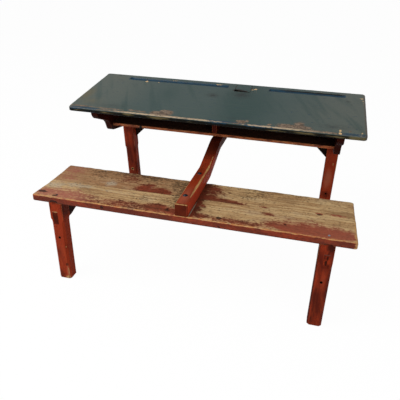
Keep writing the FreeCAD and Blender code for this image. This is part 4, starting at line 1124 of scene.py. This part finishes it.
class BuildStage(bpy.types.Operator):
    """Lay the floor and set the lamps, the world and the camera"""

    bl_idname = "bench_desk.build_stage"
    bl_label = "Build stage"

    def execute(self, context):
        scene = context.scene
        scene.view_settings.view_transform = "Standard"
        self.lay_floor(scene)
        self.light_world(scene)
        for name, lamp in LAMPS.items():
            self.hang_lamp(scene, name, *lamp)
        self.place_camera(scene)
        return {"FINISHED"}

    def lay_floor(self, scene):
        """Pale floor disc that shows nearly white to the camera and keeps a soft shadow."""
        mesh = bpy.data.meshes.new("floor")
        shape = bmesh.new()
        bmesh.ops.create_circle(shape, cap_ends=True, segments=96, radius=FLOOR_RADIUS)
        shape.to_mesh(mesh)
        shape.free()
        floor = bpy.data.objects.new("floor", mesh)
        scene.collection.objects.link(floor)
        material, tree = start_material("pale_matt_floor")
        ray = add(tree, "LightPath").node.outputs
        seen = add(tree, "Math", "MULTIPLY", (ray["Is Camera Ray"], FLOOR_SEEN))
        matt = add(tree, "BsdfDiffuse", None, {"Color": scene.bench_desk_colours.floor})
        glow = add(tree, "Emission", None, {"Color": WHITE, "Strength": 1.0})
        shown = add(tree, "MixShader", None, (seen, matt, glow))
        add(tree, "OutputMaterial", None, {"Surface": shown})
        mesh.materials.append(material)

    def light_world(self, scene):
        """Even grey light from all round, seen as white by the camera."""
        world = bpy.data.worlds.new("studio")
        world.use_nodes = True
        tree = world.node_tree
        tree.nodes.clear()
        ray = add(tree, "LightPath").node.outputs
        seen = add(tree, "Math", "MAXIMUM", (ray["Is Camera Ray"], ray["Is Transmission Ray"]))
        white = add(tree, "Background", None, {"Color": WHITE, "Strength": 1.0})
        ambient = add(tree, "Background", None, {"Color": WHITE, "Strength": AMBIENT})
        shown = add(tree, "MixShader", None, (seen, ambient, white))
        add(tree, "OutputWorld", None, {"Surface": shown})
        scene.world = world

    def hang_lamp(self, scene, name, place, size, power):
        """Square area lamp aimed at the middle of the object."""
        lamp = bpy.data.lights.new(name, "AREA")
        lamp.size = size
        lamp.energy = power
        holder = bpy.data.objects.new(name, lamp)
        holder.location = place
        aim = LAMP_AIM - Vector(place)
        holder.rotation_euler = aim.to_track_quat("-Z", "Y").to_euler()
        scene.collection.objects.link(holder)

    def place_camera(self, scene):
        """Camera in front and to the right, looking down at the desk."""
        level = math.cos(CAMERA_PITCH)
        ahead = (math.sin(CAMERA_YAW) * level, math.cos(CAMERA_YAW) * level)
        forward = Vector((*ahead, -math.sin(CAMERA_PITCH)))
        right = Vector((math.cos(CAMERA_YAW), -math.sin(CAMERA_YAW), 0.0))
        down = forward.cross(right)
        turned_right = math.cos(CAMERA_ROLL) * right + math.sin(CAMERA_ROLL) * down
        turned_down = math.cos(CAMERA_ROLL) * down - math.sin(CAMERA_ROLL) * right
        lens = bpy.data.cameras.new("camera")
        lens.lens = scene.bench_desk_sizes.camera_lens
        lens.sensor_width = SENSOR_WIDTH
        lens.shift_x, lens.shift_y = CAMERA_SHIFT
        camera = bpy.data.objects.new("camera", lens)
        axes = Matrix((turned_right, -turned_down, -forward)).transposed()
        camera.matrix_world = Matrix.Translation(CAMERA_PLACE) @ axes.to_4x4()
        scene.collection.objects.link(camera)
        scene.camera = camera


class BenchDeskPanel(bpy.types.Panel):
    """Steps and settings of the bench desk"""

    bl_idname = "VIEW3D_PT_bench_desk"
    bl_label = "Bench desk"
    bl_space_type = "VIEW_3D"
    bl_region_type = "UI"
    bl_category = "Bench desk"

    def draw(self, context):
        for step in STEPS:
            self.layout.operator(step.bl_idname)
        for group in (context.scene.bench_desk_sizes, context.scene.bench_desk_colours):
            box = self.layout.box()
            for name in group.__annotations__:
                box.prop(group, name)


STEPS = (PaintLegs, PaintBrackets, PaintArm, StainAndShadeInside, PaintTop, FinishSeat, FinishHardware, BuildStage)
CLASSES = (BenchDeskColours, BenchDeskSizes, *STEPS, BenchDeskPanel)


def register():
    """Register the classes and hang the settings on the scene."""
    for cls in CLASSES:
        bpy.utils.register_class(cls)
    bpy.types.Scene.bench_desk_colours = bpy.props.PointerProperty(type=BenchDeskColours)
    bpy.types.Scene.bench_desk_sizes = bpy.props.PointerProperty(type=BenchDeskSizes)


def unregister():
    """Undo register."""
    del bpy.types.Scene.bench_desk_sizes
    del bpy.types.Scene.bench_desk_colours
    for cls in reversed(CLASSES):
        bpy.utils.unregister_class(cls)


def main():
    """Run every step in order."""
    register()
    for step in STEPS:
        group, name = step.bl_idname.split(".")
        getattr(getattr(bpy.ops, group), name)()


if __name__ == "__main__":
    main()
